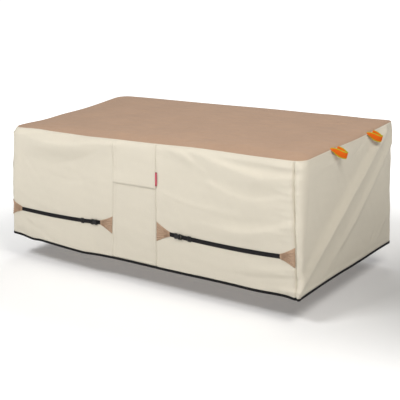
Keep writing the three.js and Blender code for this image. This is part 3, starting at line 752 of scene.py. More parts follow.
def moulded_plastic(name, colour):
    """Black acetal with a fine spark-eroded grain, worn smoother in places."""
    finish = Finish(name, roughness=0.42, specular=0.3)
    place = finish.object_place()
    grain = finish.noise(place, 2600.0, detail=2.0)
    smear = finish.noise(place, 60.0)
    finish.colour(finish.shade(colour, 0.9 + smear * 0.2))
    finish.roughness(0.34 + smear * 0.16 + grain * 0.06)
    finish.bump(grain, distance=0.00008, strength=0.6)
    return finish.material


def thread_finish(name, colour):
    """Twisted sewing thread."""
    finish = Finish(name, roughness=0.6, specular=0.4, sheen=0.2, sheen_roughness=0.4)
    place = finish.object_place()
    strand = finish.noise(place, 1500.0, detail=2.0)
    finish.colour(finish.shade(colour, 0.85 + strand * 0.3))
    finish.bump(strand, distance=0.0001, strength=0.5)
    return finish.material


def ribbon(name, colour, end_colour, half):
    """Fine ribbed ribbon with darker ends."""
    finish = Finish(name, roughness=0.6, specular=0.35, sheen=0.2, sheen_roughness=0.4)
    place, x, y = finish.cloth_place()
    ribs = abs((y * (math.pi / RIBBON_RIB)).sine())
    strands = abs((x * (math.pi / RIBBON_STRAND)).sine())
    ends = finish.eased(abs(y), *[(half - inset) * MM for inset in TAB_END])
    cloud = finish.noise(place, 90.0)
    tone = finish.blend(ends, colour, end_colour)
    # The ribs' crowns are painted lighter than their hollows, a painted shade of the ribbing; the noise
    # adds random tone.
    finish.colour(finish.shade(tone, 0.85 + ribs * 0.12 + cloud * 0.14))
    finish.bump(ribs + strands * 0.4, distance=0.0002, strength=0.6)
    return finish.material


def studio_floor(name, colour, glow):
    """Pale seamless paper with a painted glow, weaker near the cover, and a painted shadow to the cover's
    right that darkens both its colour and its glow.
    """
    finish = Finish(name, roughness=0.9, specular=0.1)
    place = finish.object_place()
    cloud = finish.noise(place, 0.6, detail=2.0)
    # Painted shadow: the floor's colour and glow are darkened around a place to the right of the cover.
    aside = finish.node("ShaderNodeVectorMath", {"operation": "DISTANCE"}, (place, PAINTED_SHADOW_PLACE), 1)
    painted_shadow = finish.eased(aside, 0.0, PAINTED_SHADOW_REACH, 1 - PAINTED_SHADOW_DEPTH)
    finish.colour(finish.shade(colour, painted_shadow * (0.99 + cloud * 0.02)))
    # Painted glow: the floor gives off light, weaker near the cover and stronger far from it.
    away = finish.node("ShaderNodeVectorMath", {"operation": "LENGTH"}, (place,), 1)
    light = finish.node("ShaderNodeMapRange", None, (away, GLOW_NEAR, GLOW_FAR, glow, 1.0))
    finish.put(finish.shader.inputs["Emission Color"], finish.shade((1.0, 1.0, 1.0), light * painted_shadow))
    finish.shader.inputs["Emission Strength"].default_value = 1.0
    return finish.material


# Steepest turns of a surface, in degrees, that are still shaded smooth
CLOTH_TURN = 40.0
PLASTIC_TURN = 35.0


def finished(name, bm, material, nodes, turn=CLOTH_TURN):
    """Turns a bmesh into a piece of the cover that rides on its body and stands for its solids."""
    bm.normal_update()
    mesh = bpy.data.meshes.new(name)
    bm.to_mesh(mesh)
    bm.free()
    mesh.shade_smooth()
    mesh.set_sharp_from_angle(angle=math.radians(turn))
    mesh.materials.append(material)
    piece = bpy.data.objects.new(name, mesh)
    bpy.context.scene.collection.objects.link(piece)
    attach(piece, "root")
    if nodes:
        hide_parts(*nodes)
    return piece


def sheet_mesh(us, vs, place, bm=None):
    """A grid of cloth laid by place(u, v), with its own distances, in metres, as the cloth's UV map."""
    bm = bm or bmesh.new()
    cloth = bm.loops.layers.uv.get("cloth") or bm.loops.layers.uv.new("cloth")
    columns, rows = len(us) - 1, len(vs) - 1
    made = bmesh.ops.create_grid(bm, x_segments=columns, y_segments=rows, size=0.5)
    points = metres(place(*np.meshgrid(us, vs, indexing="ij")))
    cells = {}
    for vert in made["verts"]:
        cell = (round((vert.co.x + 0.5) * columns), round((vert.co.y + 0.5) * rows))
        cells[vert] = cell
        vert.co = points[cell]
    faces = {face for vert in made["verts"] for face in vert.link_faces}
    for face in faces:
        for loop in face.loops:
            i, j = cells[loop.vert]
            loop[cloth].uv = (us[i] * MM, vs[j] * MM)
    return bm


def sewn_piece(name, bm, material, node, thickness, offset=-1.0):
    """Finishes a piece of cloth or tape, with its thickness, in place of its solid."""
    piece = finished(name, bm, material, [node])
    solid = piece.modifiers.new("thickness", "SOLIDIFY")
    solid.thickness = thickness
    solid.offset = offset
    solid.use_even_offset = False


# Sewing thread, in metres
Stitch = namedtuple("Stitch", "pitch length radius")
STITCH_SHARE = 0.72  # of its pitch that a stitch shows
PATCH_STITCH_SHARE = 0.7  # size of the patches' stitches by the walls'
THREAD = 0.0006
FINE_THREAD = 0.0005
BAR_STITCH = Stitch(0.0034, 0.0029, FINE_THREAD)
THREAD_FLATNESS = 0.8
THREAD_LIFT = 0.35

# Rows of stitches, in millimetres: distances from what they follow, and lifts off the cloth
SEAM_STITCH_ENDS = (8.0, 6.0)
TOP_STITCH = 7.0
LAP_STITCH = 3.0
LAP_STITCH_ENDS = (20.0, 17.0)
TAPE_STITCH_LIFT = 1.2
BAR_ROWS = (3, 9)
BAR_HALF = 8.5
BAR_LIFT = 2.5
PATCH_STITCH = 3.5
PATCH_STITCH_LIFT = 1.6


def stitch_row(bm, line, stitch):
    """Sews along a line of close points: one small closed bead of thread for each stitch."""
    points, normals = line
    reach = np.concatenate(([0.0], np.cumsum(np.linalg.norm(np.diff(points, axis=0), axis=1))))
    count = max(1, int(reach[-1] / stitch.pitch))
    middles = (np.arange(count) + 0.5) * reach[-1] / count
    half = stitch.length / 2

    def at(values, places):
        return np.stack([np.interp(places, reach, values[:, axis]) for axis in range(3)], -1)

    start, end = at(points, middles - half), at(points, middles + half)
    forward = unit(end - start)
    side = unit(np.cross(at(normals, middles), forward))
    out = np.cross(forward, side)
    bead = bmesh.new()
    bmesh.ops.create_uvsphere(bead, u_segments=5, v_segments=4, radius=1.0)
    size = (half, stitch.radius, stitch.radius * THREAD_FLATNESS)
    shape = np.array([vert.co for vert in bead.verts]) * size
    mesh = bpy.data.meshes.new("stitch")
    bead.to_mesh(mesh)
    bead.free()
    for middle, *axes in zip((start + end) / 2 + out * stitch.radius * THREAD_LIFT, forward, side, out):
        mesh.vertices.foreach_set("co", (middle + shape @ np.array(axes)).ravel())
        bm.from_mesh(mesh)
    bpy.data.meshes.remove(mesh)


def wall_line(ps, hs, lift=0.0):
    """Close points along a line on the dressed wall, with the way out of the cloth at each."""
    ps, hs = np.broadcast_arrays(np.asarray(ps, float), np.asarray(hs, float))
    return metres(wall_point(ps, hs, lift)), wall_normal(ps, hs)


def colours():
    return bpy.context.scene.cover_colours


def sizes():
    return bpy.context.scene.cover_sizes


# Sheets of the walls: from, to, lowest and highest, column and row steps, the solid and the flat size
WallSheet = namedtuple("WallSheet", "start end low high column row node flat")
BINDING_TOP = 4.5
HEM_EDGE = BINDING_TOP - 3.0  # lower edge of the sheets, inside the binding
HEM_ROWS = (0, 12, 24)  # rows close together over a sheet's lower edge
SEAM_ROWS = (40, 28, 20, 13, 8, 4, 0)  # rows close together under the top seam
WALL_SHEETS = {
    "front_left_cloth": WallSheet(
        0, SEAM_LEFT, HEM_EDGE, DROP, 8, 7, "front_left_panel", (0.76, 0.72)
    ),
    "front_centre_upper_cloth": WallSheet(
        SEAM_LEFT, SEAM_RIGHT, LAP_HEIGHT, DROP, 10, 9, "front_centre_upper", (0.29, 0.255)
    ),
    "front_centre_lower_cloth": WallSheet(
        SEAM_LEFT, SEAM_RIGHT, HEM_EDGE, LAP_HEIGHT + LAP_OVERLAP, 10, 10,
        "front_centre_lower", (0.29, 0.46),
    ),
    "front_right_cloth": WallSheet(
        SEAM_RIGHT, SEAM_CORNER, HEM_EDGE, DROP, 7, 7, "front_right_panel", (0.85, 0.72)
    ),
    "right_end_cloth": WallSheet(
        SEAM_CORNER, LENGTH + WIDTH, HEM_EDGE, DROP, 6, 6, "right_end_panel", (1.15, 0.72)
    ),
    "back_cloth": WallSheet(
        LENGTH + WIDTH, 2 * LENGTH + WIDTH, HEM_EDGE, DROP, 15, 12, "back_panel", (1.93, 0.72)
    ),
    "left_end_cloth": WallSheet(
        2 * LENGTH + WIDTH, TOTAL, HEM_EDGE, DROP, 13, 12, "left_end_panel", (1.11, 0.71)
    ),
}
TOP_EDGE = (0, 2, 5, 10, 17, 26, 38, 55)
TOP_COLUMN = 13
TOP_ROW = 12


def length_property(name, description, default, **limits):
    return FloatProperty(name=name, description=description, default=default, unit="LENGTH", **limits)


def colour_property(name, description, default):
    return FloatVectorProperty(
        name=name, description=description, default=default, min=0.0, max=1.0, size=3, subtype="COLOR"
    )


class CoverSizes(bpy.types.PropertyGroup):
    cloth: length_property("Cloth", "Thickness of the cloth", 0.0018, min=0.001, max=0.003)
    thread_pitch: length_property("Weave", "Distance between threads of the weave", 0.0012)
    binding: length_property("Binding", "Height of the hem binding", 0.0145)
    webbing: length_property("Webbing", "Width of the cinch straps", 0.0235)
    handle: length_property("Handle", "Width of the handle strips", 0.038)
    stitch: length_property("Stitch", "Distance between stitches", 0.0075)
    gathers: IntProperty(
        name="Gathers", description="Pleats across each strap patch", default=7, min=2, max=14
    )
    floor: length_property("Floor", "Distance from the top down to the floor", 0.85)


class CoverColours(bpy.types.PropertyGroup):
    top: colour_property("Top", "Colour of the top cloth", (0.414, 0.268, 0.178))
    walls: colour_property("Walls", "Colour of the wall cloth", (0.655, 0.607, 0.508))
    patches: colour_property("Patches", "Colour of the strap patches", (0.42, 0.29, 0.20))
    tape: colour_property("Tape", "Colour of the webbing and the binding", (0.012, 0.011, 0.012))
    plastic: colour_property("Plastic", "Colour of the buckles and slides", (0.010, 0.010, 0.011))
    handle: colour_property("Handles", "Colour of the handle webbing", (0.70, 0.125, 0.008))
    handle_edge: colour_property("Handle edges", "Colour of the handle's edges", (0.44, 0.40, 0.03))
    tab: colour_property("Tab", "Colour of the side tab", (0.55, 0.065, 0.11))
    tab_end: colour_property("Tab ends", "Colour of the side tab's ends", (0.33, 0.035, 0.05))
    thread: colour_property("Thread", "Colour of the thread on the walls", (0.50, 0.455, 0.375))
    floor: colour_property("Floor", "Colour of the studio floor", (0.80, 0.80, 0.80))


class COVER_OT_top(bpy.types.Operator):
    """Sews the brown top with its soft shoulders"""

    bl_idname = "cover.top"
    bl_label = "Top"

    def execute(self, context):
        us = spread(from_both_ends(0, LENGTH, TOP_EDGE), TOP_COLUMN)
        vs = spread(from_both_ends(0, WIDTH, TOP_EDGE), TOP_ROW)
        bm = sheet_mesh(us, vs, lambda x, y: top_point(x / LENGTH, y / WIDTH))
        material = woven_cloth(
            "brown woven cloth", colours().top, sizes().thread_pitch,
            sheen=0.2, mottle=0.22, specular=0.22, crumple=0.0012,
        )
        sewn_piece("top_cloth", bm, material, "top_panel", sizes().cloth)
        return {"FINISHED"}


LAP_HANG = 2.6
LAP_TURN = 0.9  # more lift where the hem of the lap is turned double
LAP_TURN_FADE = 3.0


def lap_lift(h):
    """How far the upper middle sheet stands off the lower one, with its turned hem."""
    hang = LAP_HANG * (1 - smooth((h - LAP_HEIGHT - 2 * LAP_OVERLAP) / LAP_FADE))
    return hang + LAP_TURN * (1 - smooth((h - LAP_HEIGHT - LAP_HEM) / LAP_TURN_FADE))


class COVER_OT_walls(bpy.types.Operator):
    """Sews the cream walls, each panel with its folds, creases and turned seams"""

    bl_idname = "cover.walls"
    bl_label = "Walls"

    def execute(self, context):
        material = woven_cloth("cream woven cloth", colours().walls, sizes().thread_pitch)
        for name, sheet in WALL_SHEETS.items():
            us = seam_marks(sheet.start, sheet.end, sheet.column)
            top = sheet.high - SEAM_GAP / 2
            under_seam = SEAM_ROWS if sheet.high == DROP else (0,)
            marks = [*[sheet.low + n for n in HEM_ROWS], *[top - n for n in under_seam]]
            vs = spread(marks, sheet.row)

            def lay(p, h, upper=name == "front_centre_upper_cloth"):
                return wall_point(p, h, lap_lift(h) if upper else 0.0)

            sewn_piece(name, sheet_mesh(us, vs, lay), material, sheet.node, sizes().cloth)
        return {"FINISHED"}


BINDING_OUT = 1.0  # how far the tape's faces lie off the outside and the inside of the cloth
BINDING_IN = 0.9
BINDING_PINCH = 0.45
BINDING_PINCH_WIDTH = 1.6
BINDING_STITCH = 3.0  # from the tape's edges to its line of stitches
BINDING_STEP = 11


class COVER_OT_binding(bpy.types.Operator):
    """Folds the black tape over the lower edge all round"""

    bl_idname = "cover.binding"
    bl_label = "Hem binding"

    def execute(self, context):
        tall = sizes().binding / MM
        low = BINDING_TOP - tall
        outer, inner = BINDING_OUT, -sizes().cloth / MM - BINDING_IN
        half = (outer - inner) / 2
        arc = math.pi * half
        side = tall - half
        corners = [start for start, _ in list(WALLS.values())[1:]]
        us = spread([0, CORNER_REACH, *corners, TOTAL], BINDING_STEP)
        vs = np.array([-side - arc / 2, -side * 0.5 - arc / 2, *np.linspace(-arc / 2, arc / 2, 7)])
        vs = np.append(vs, [side * 0.5 + arc / 2, side * 0.85 + arc / 2, side + arc / 2])

        def lay(p, across):
            turn = np.clip(across / half, -math.pi / 2, math.pi / 2)
            depth = (outer + inner) / 2 + half * np.sin(turn)
            rise = np.maximum(0, np.abs(across) - arc / 2)
            height = low + half - half * np.cos(turn) + rise
            edge = np.abs(across) - arc / 2 - side
            pinch = BINDING_PINCH * bell(edge + BINDING_STITCH, BINDING_PINCH_WIDTH)
            depth = depth - np.sign(across) * pinch
            return wall_point(p, height, depth)

        bm = sheet_mesh(us, vs, lay)
        bmesh.ops.remove_doubles(bm, verts=bm.verts[:], dist=1e-5)
        material = ribbed_tape("black binding tape", colours().tape, BINDING_RIB)
        sewn_piece("hem_binding_tape", bm, material, "hem_binding", TAPE_THICKNESS, 1.0)
        return {"FINISHED"}


def strap_frame(strap, p, lift):
    """Frame of a hard fitting on a strap: x along the strap, z out of the wall."""
    h = strap_height(strap, p)
    z = Vector(wall_normal(p, h))
    ahead = wall_point(p + BUCKLE_PLUG, strap_height(strap, p + BUCKLE_PLUG), detail=False)
    back = wall_point(p - BUCKLE_PLUG, strap_height(strap, p - BUCKLE_PLUG), detail=False)
    x = Vector(ahead - back)
    x = (x - z * x.dot(z)).normalized()
    y = z.cross(x)
    turn = Matrix((x, y, z)).transposed().to_4x4()
    place = Vector(metres(wall_point(p, h, detail=False))) + z * lift * MM
    return Matrix.Translation(place) @ turn


def patch_half(end):
    return (end.high - end.low) / 2


def patch_middle(end, share):
    """Height of a patch's middle and half its width, from its tip (0) to its wide end (1)."""
    tip_half = sizes().webbing / MM / 2 + PATCH_BORDER
    middle = end.middle + ((end.low + end.high) / 2 - end.middle) * share
    return middle, tip_half + (patch_half(end) - tip_half) * np.clip(share, 0, 1) ** PATCH_FLARE


def patch_lift(end, share, row):
    """How far a patch stands off the wall: pleats from the strap on, between flat sewn edges."""
    drift = PLEAT_DRIFT * ripples(share * 60, row * 40, 60, ord(end.name))
    pleat = np.cos(row * sizes().gathers * math.pi + drift * 2)
    fading = 1 - PLEAT_FADE * smooth((share - PLEAT_FADE) / (1 - PLEAT_FADE))
    strength = smooth(share * PLEAT_ONSET) * fading
    inside = smooth((1 - np.abs(row)) / PATCH_EDGE)
    puff = PATCH_PUFF + PLEAT_RISE * pleat * strength + TIP_RISE * bell(row, 0.45) * (1 - share)
    return (PATCH_LIFT + inside * puff) * smooth((PATCH_END[0] - share) / PATCH_END[1]) + PATCH_SEAT


class COVER_OT_patches(bpy.types.Operator):
    """Sews the four gathered patches that hold the cinch straps"""

    bl_idname = "cover.patches"
    bl_label = "Strap patches"

    def execute(self, context):
        material = woven_cloth(
            "tan patch cloth", colours().patches, sizes().thread_pitch, mottle=0.2, crumple=0.0009
        )
        for strap, end in STRAP_ENDS:

            def lay(p, row, strap=strap, end=end):
                share = (p - end.tip) / (end.wide - end.tip)
                middle, half = patch_middle(end, share)
                slope = strap_slope(strap) * (1 - share)
                lift = patch_lift(end, share, row)
                return wall_point(p - slope * row * half, middle + row * half, lift)

            us = spread(sorted((end.wide, end.tip)), PATCH_STEP)
            bm = sheet_mesh(us, np.linspace(-1, 1, PATCH_ROWS), lay)
            scale_rows(bm, patch_half(end))
            node = f"strap_patch_{end.name}"
            sewn_piece(f"{node}_cloth", bm, material, node, PATCH_THICKNESS)
        return {"FINISHED"}


def scale_rows(bm, half):
    """Brings the second distance of a cloth laid over -1 to 1 to its real size."""
    cloth = bm.loops.layers.uv["cloth"]
    for face in bm.faces:
        for loop in face.loops:
            loop[cloth].uv.y *= half


class COVER_OT_webbing(bpy.types.Operator):
    """Lays the cinch straps, with the fold back through the slide"""

    bl_idname = "cover.webbing"
    bl_label = "Cinch straps"

    def execute(self, context):
        material = ribbed_tape("black webbing", colours().tape, WEBBING_RIB)
        half = sizes().webbing / MM / 2
        vs = np.linspace(-half, half, WEBBING_ROWS)
        for strap in STRAPS:
            leads = strap.buckle_leads
            buckle_end = strap.buckle + BUCKLE_SOCKET + BUCKLE_PLUG
            first = (strap.left.tip - WEBBING_TUCK, strap.buckle + WEBBING_TUCK)
            second = (buckle_end - WEBBING_TUCK, strap.right.tip + WEBBING_TUCK)
            runs = {"long": second if leads else first, "short": first if leads else second}
            folded = sorted((strap.slide, buckle_end if leads else strap.buckle))

            def lay(p, across, strap=strap, layer=0.0):
                over_bar = BAR_RISE * bell(p - strap.slide, BAR_REACH)
                rounded = -WEBBING_EDGE * smooth((np.abs(across) - half + 2) / 2)
                lift = WEBBING_LIFT + over_bar + rounded + layer
                slope = strap_slope(strap)
                return wall_point(p - slope * across, strap_height(strap, p) + across, lift, detail=False)

            for label, run in runs.items():
                bm = sheet_mesh(spread(run, WEBBING_STEP), vs, lay)
                if label == "long":
                    us = spread([folded[0] + 1, folded[1] - 1], 3)
                    sheet_mesh(us, vs, lambda p, across: lay(p, across, layer=SECOND_LAYER), bm)
                node = f"strap_{strap.side}_{label}"
                sewn_piece(f"{node}_webbing", bm, material, node, WEBBING_THICKNESS, 1.0)
        return {"FINISHED"}


def raised(part, faces, height):
    """Draws flat faces up into a closed solid."""
    made = bmesh.ops.extrude_face_region(part, geom=faces)
    lifted = [item for item in made["geom"] if isinstance(item, bmesh.types.BMVert)]
    bmesh.ops.translate(part, verts=lifted, vec=(0, 0, height))
    bmesh.ops.recalc_face_normals(part, faces=part.faces[:])


def rounded_edges(part, edges, radius):
    bmesh.ops.bevel(
        part, geom=edges, offset=radius, offset_type="OFFSET", affect="EDGES", segments=3, profile=0.5,
        material=-1, clamp_overlap=True,
    )


def join_part(bm, part, matrix):
    """Adds a finished shape in millimetres to a piece, placed by a matrix."""
    bmesh.ops.scale(part, vec=(MM, MM, MM), verts=part.verts[:])
    bmesh.ops.transform(part, matrix=matrix, verts=part.verts[:])
    mesh = bpy.data.meshes.new("part")
    part.to_mesh(mesh)
    part.free()
    bm.from_mesh(mesh)
    bpy.data.meshes.remove(mesh)


def opposite(outline):
    """The same outline on the other side of the strap's middle line."""
    return [(x, -y) for x, y in reversed(outline)]


def whole(half_outline):
    """A closed outline from its half on one side of the middle line."""
    return [*half_outline, *opposite(half_outline)]


# The plates that a buckle's halves are moulded from, in millimetres: outline, lower and upper face, and
# rounding of the edges. x runs from where the halves meet towards the half's own strap.
Plate = namedtuple("Plate", "outline low high rounding")
SHELL = ((0, 14.2), (3, 15.2), (5, 12.0), (9, 10.4), (14, 10.6), (18, 13.2), (21, 15.2), (24, 15.2))
SOCKET_CHEEK = [(22, 11.2), (31.4, 9.4), (31.4, 13.2), (22, 15.2)]
SOCKET_PLATES = {
    "upper shell": Plate(whole(SHELL), 6.6, 9.0, 0.7),
    "lower shell": Plate(whole(SHELL), 0.0, 2.2, 0.6),
    "spine": Plate(whole([(2.5, 3.0), (22, 3.0)]), 1.8, 7.0, 0.4),
    "back wall": Plate(whole([(18, 13.6), (23.5, 14.4)]), 1.6, 7.4, 0.6),
    "cheek": Plate(SOCKET_CHEEK, 1.2, 7.4, 0.9),
    "other cheek": Plate(opposite(SOCKET_CHEEK), 1.2, 7.4, 0.9),
    "strap bar": Plate(whole([(27.6, 13.4), (31.6, 13.0)]), 2.2, 6.4, 0.9),
    "raised pad": Plate(whole([(6.5, 6.2), (15.5, 6.2)]), 8.7, 9.5, 0.3),
}
PRONG = (
    (1, 10.6), (-4, 10.2), (-9, 11.4), (-14.5, 15.3), (-17.5, 14.6), (-15.5, 11.0), (-9, 8.4), (1, 8.0),
)
PLUG_CHEEK = [(5, 11.4), (16.4, 9.6), (16.4, 13.6), (5, 15.2)]
PLUG_PLATES = {
    "prong": Plate(PRONG, 2.9, 6.1, 0.5),
    "other prong": Plate([(x, -y) for x, y in PRONG], 2.9, 6.1, 0.5),
    "collar": Plate(whole([(0.4, 14.6), (5.5, 15.2)]), 0.8, 8.4, 0.9),
    "cheek": Plate(PLUG_CHEEK, 1.2, 7.6, 0.9),
    "other cheek": Plate(opposite(PLUG_CHEEK), 1.2, 7.6, 0.9),
    "strap bar": Plate(whole([(12.6, 13.8), (16.6, 13.2)]), 2.2, 6.4, 0.9),
    "guide": Plate(whole([(-12, 2.4), (1, 2.4)]), 3.0, 5.8, 0.4),
}


def buckle_half(bm, plates, matrix):
    """Moulds one half of a side-release buckle from its plates."""
    for plate in plates.values():
        part = bmesh.new()
        face = part.faces.new([part.verts.new((x, y, plate.low)) for x, y in plate.outline])
        part.normal_update()
        if face.normal.z < 0:
            face.normal_flip()
        raised(part, [face], plate.high - plate.low)
        rounded_edges(part, part.edges[:], plate.rounding)
        join_part(bm, part, matrix)


SLIDE_COLUMNS = (-10.5, -6.4, -2.2, 2.2, 6.4, 10.5)
SLIDE_ROWS = (-15.5, -11.6, 11.6, 15.5)
SLIDE_THICKNESS = 2.6
SLIDE_ROUNDING = 0.7
SLIDE_CORNER = 0.5  # edges that turn more than this, in radians, are rounded


def slide_shape(bm, matrix):
    """A three-bar slide, cut from a grid of cells with its two slots left out."""
    part = bmesh.new()
    columns, rows = len(SLIDE_COLUMNS) - 1, len(SLIDE_ROWS) - 1
    made = bmesh.ops.create_grid(part, x_segments=columns, y_segments=rows, size=0.5)
    for vert in made["verts"]:
        column, row = round((vert.co.x + 0.5) * columns), round((vert.co.y + 0.5) * rows)
        vert.co = (SLIDE_COLUMNS[column], SLIDE_ROWS[row], 0)
    bar_edge, slot_edge = SLIDE_COLUMNS[3:5]
    places = [(face, face.calc_center_median()) for face in part.faces]
    slots = [face for face, place in places if bar_edge < abs(place.x) < slot_edge and abs(place.y) < 1]
    bmesh.ops.delete(part, geom=slots, context="FACES")
    raised(part, part.faces[:], SLIDE_THICKNESS)
    corners = [e for e in part.edges if len(e.link_faces) == 2 and e.calc_face_angle(0) > SLIDE_CORNER]
    rounded_edges(part, corners, SLIDE_ROUNDING)
    join_part(bm, part, matrix)


class COVER_OT_buckles(bpy.types.Operator):
    """Moulds the two closed side-release buckles and the strap slides"""

    bl_idname = "cover.buckles"
    bl_label = "Buckles and slides"

    def execute(self, context):
        material = moulded_plastic("black moulded plastic", colours().plastic)
        for strap in STRAPS:
            before = BUCKLE_SOCKET if strap.buckle_leads else BUCKLE_PLUG
            seat = strap_frame(strap, strap.buckle + before, BUCKLE_SEAT)
            turn = Matrix.Rotation(math.pi if strap.buckle_leads else 0.0, 4, "Z")
            about = Matrix.Rotation(math.pi, 4, "Z")
            halves = {"socket": (SOCKET_PLATES, seat @ turn), "plug": (PLUG_PLATES, seat @ turn @ about)}
            for label, (plates, matrix) in halves.items():
                bm = bmesh.new()
                buckle_half(bm, plates, matrix)
                node = f"buckle_{strap.side}_{label}"
                finished(f"{node}_moulding", bm, material, [node], PLASTIC_TURN)
            bm = bmesh.new()
            slide_shape(bm, strap_frame(strap, strap.slide, SLIDE_SEAT))
            node = f"slide_{strap.side}"
            finished(f"{node}_moulding", bm, material, [node], PLASTIC_TURN)
        return {"FINISHED"}


def handle_place(centre, share, across):
    """A point on a handle's strip: its share of the run, and its distance across the strip."""
    p = WALLS["end"][0] + centre + HANDLE_SHIFT
    origin = wall_point(p, DROP, detail=False)
    out = outwards(p, DROP)
    reach = HANDLE_SPAN / 2
    side = unit(wall_point(p + reach, DROP, detail=False) - wall_point(p - reach, DROP, detail=False))
    up = np.array((0.0, 0.0, 1.0))
    upright = unit(up + out * HANDLE_LEAN)
    half = sizes().handle / MM / 2

    def standing(share):
        return smooth(share / HANDLE_TWISTS[0]) * smooth((1 - share) / HANDLE_TWISTS[1])

    def bowed(share):
        most = math.hypot(1, HANDLE_TURN)
        return (most - np.hypot(2 * share - 1, HANDLE_TURN)) / (most - HANDLE_TURN)

    def middle(share):
        out_share = bowed(share)[..., None]
        run = origin + side * (HANDLE_SKEW * out_share + (2 * share - 1)[..., None] * reach)
        hang = HANDLE_DIP * out_share + half * standing(share)[..., None]
        return run + out * (HANDLE_STAND + HANDLE_BOW * out_share) - up * hang

    forward = unit(middle(share + SHARE_STEP) - middle(share - SHARE_STEP))
    twist = (standing(share) * math.pi / 2)[..., None]
    width = side * np.cos(twist) + upright * np.sin(twist)
    width = unit(width - forward * np.sum(width * forward, -1, keepdims=True))
    face = unit(np.cross(forward, width))
    cup = HANDLE_CUP * (np.abs(across) / half) ** 2 * bowed(share)
    return middle(share) + width * across[..., None] - face * cup[..., None]


class COVER_OT_handles(bpy.types.Operator):
    """Bows the orange lifting handles out of the top seam"""

    bl_idname = "cover.handles"
    bl_label = "Lifting handles"

    def execute(self, context):
        half = sizes().handle / MM / 2
        material = ribbed_tape(
            "orange handle webbing", colours().handle, HANDLE_RIB, colours().handle_edge,
            edge_from=HANDLE_EDGE, half=half * MM, gloss=0.08,
        )
        us = spread([0, HANDLE_RUN], HANDLE_STEPS[0])
        vs = spread([-half, half], HANDLE_STEPS[1])
        for label, centre in HANDLES.items():
            bm = sheet_mesh(us, vs, lambda u, v, centre=centre: handle_place(centre, u / HANDLE_RUN, v))
            node = f"handle_{label}"
            sewn_piece(f"{node}_webbing", bm, material, node, HANDLE_THICKNESS, 0.0)
        return {"FINISHED"}


class COVER_OT_tab(bpy.types.Operator):
    """Folds the small bare tab that is caught in the middle panel's right seam"""

    bl_idname = "cover.tab"
    bl_label = "Side tab"

    def execute(self, context):
        middle = (TAB_LOW + TAB_HIGH) / 2
        half = (TAB_HIGH - TAB_LOW) / 2
        run = 2 * TAB_WIDTH + math.pi * TAB_FOLD
        us = np.linspace(-run / 2, run / 2, 19)
        vs = spread([-half, half], 3)

        def lay(u, v):
            turn = np.clip(u / TAB_FOLD, -math.pi / 2, math.pi / 2)
            back = np.maximum(0, np.abs(u) - math.pi * TAB_FOLD / 2)
            reach = TAB_WIDTH - back - TAB_FOLD * (1 - np.cos(turn))
            lift = TAB_LIFT + TAB_FOLD * np.sin(turn) + TAB_CURL * (reach / TAB_WIDTH) ** 2
            lift = lift + TAB_WAVE * np.sin(v / 9)
            return wall_point(SEAM_RIGHT + TAB_OUT + reach, middle + v, lift, detail=False)

        material = ribbon("red ribbon", colours().tab, colours().tab_end, half)
        bm = sheet_mesh(us, vs, lay)
        sewn_piece("side_tab_ribbon", bm, material, "side_tab", TAPE_THICKNESS)
        return {"FINISHED"}


class COVER_OT_stitching(bpy.types.Operator):
    """Sews the visible rows of stitches"""

    bl_idname = "cover.stitching"
    bl_label = "Stitching"

    def execute(self, context):
        pitch = sizes().stitch
        length = pitch * STITCH_SHARE
        wall_stitch = Stitch(pitch, length, THREAD)
        heights = np.linspace(HEM_EDGE + SEAM_STITCH_ENDS[0], DROP - SEAM_STITCH_ENDS[1], 140)
        all_round = np.linspace(0, TOTAL, 700)
        walls = bmesh.new()
        for seam in SEAMS:
            for stitch in seam.stitches:
                stitch_row(walls, wall_line(seam.place + stitch, heights), wall_stitch)
        stitch_row(walls, wall_line(all_round, DROP - TOP_STITCH), wall_stitch)
        lap = np.linspace(SEAM_LEFT + LAP_STITCH_ENDS[0], SEAM_RIGHT - LAP_STITCH_ENDS[1], 60)
        lap_row = LAP_HEIGHT + LAP_HEM - LAP_STITCH
        stitch_row(walls, wall_line(lap, lap_row, lap_lift(lap_row)), wall_stitch)
        material = thread_finish("cream thread", colours().thread)
        finished("wall_stitching", walls, material, ())

        tape = bmesh.new()
        patches = bmesh.new()
        patch_stitch = Stitch(pitch * PATCH_STITCH_SHARE, length * PATCH_STITCH_SHARE, FINE_THREAD)
        binding_row = wall_line(all_round, BINDING_TOP - BINDING_STITCH, TAPE_STITCH_LIFT)
        stitch_row(tape, binding_row, wall_stitch)
        rows = np.linspace(-BAR_HALF, BAR_HALF, 20)
        share = np.linspace(0.02, 0.93, 40)
        for strap, end in STRAP_ENDS:
            way = math.copysign(1, end.wide - end.tip)
            for step in BAR_ROWS:
                p = end.tip - way * step
                stitch_row(tape, wall_line(p, strap_height(strap, p) + rows, BAR_LIFT), BAR_STITCH)
            p = end.tip + (end.wide - end.tip) * share
            middle, half = patch_middle(end, share)
            slope = strap_slope(strap) * (1 - share)
            for side in (-1, 1):
                aside = side * (half - PATCH_STITCH)
                line = wall_line(p - slope * aside, middle + aside, PATCH_STITCH_LIFT)
                stitch_row(patches, line, patch_stitch)
        material = thread_finish("black thread", colours().tape)
        finished("tape_stitching", tape, material, ())
        material = thread_finish("tan thread", colours().patches)
        finished("patch_stitching", patches, material, ())
        return {"FINISHED"}


CAMERA_PLACE = (2.857792, -4.458778, 1.029979)
CAMERA_AZIMUTH = 32.587
CAMERA_ELEVATION = 15.862
FOCAL_PIXELS = 930.0
PICTURE_WIDTH = 400.0
SENSOR = 36.0
VIEW_DEPTH = 200.0

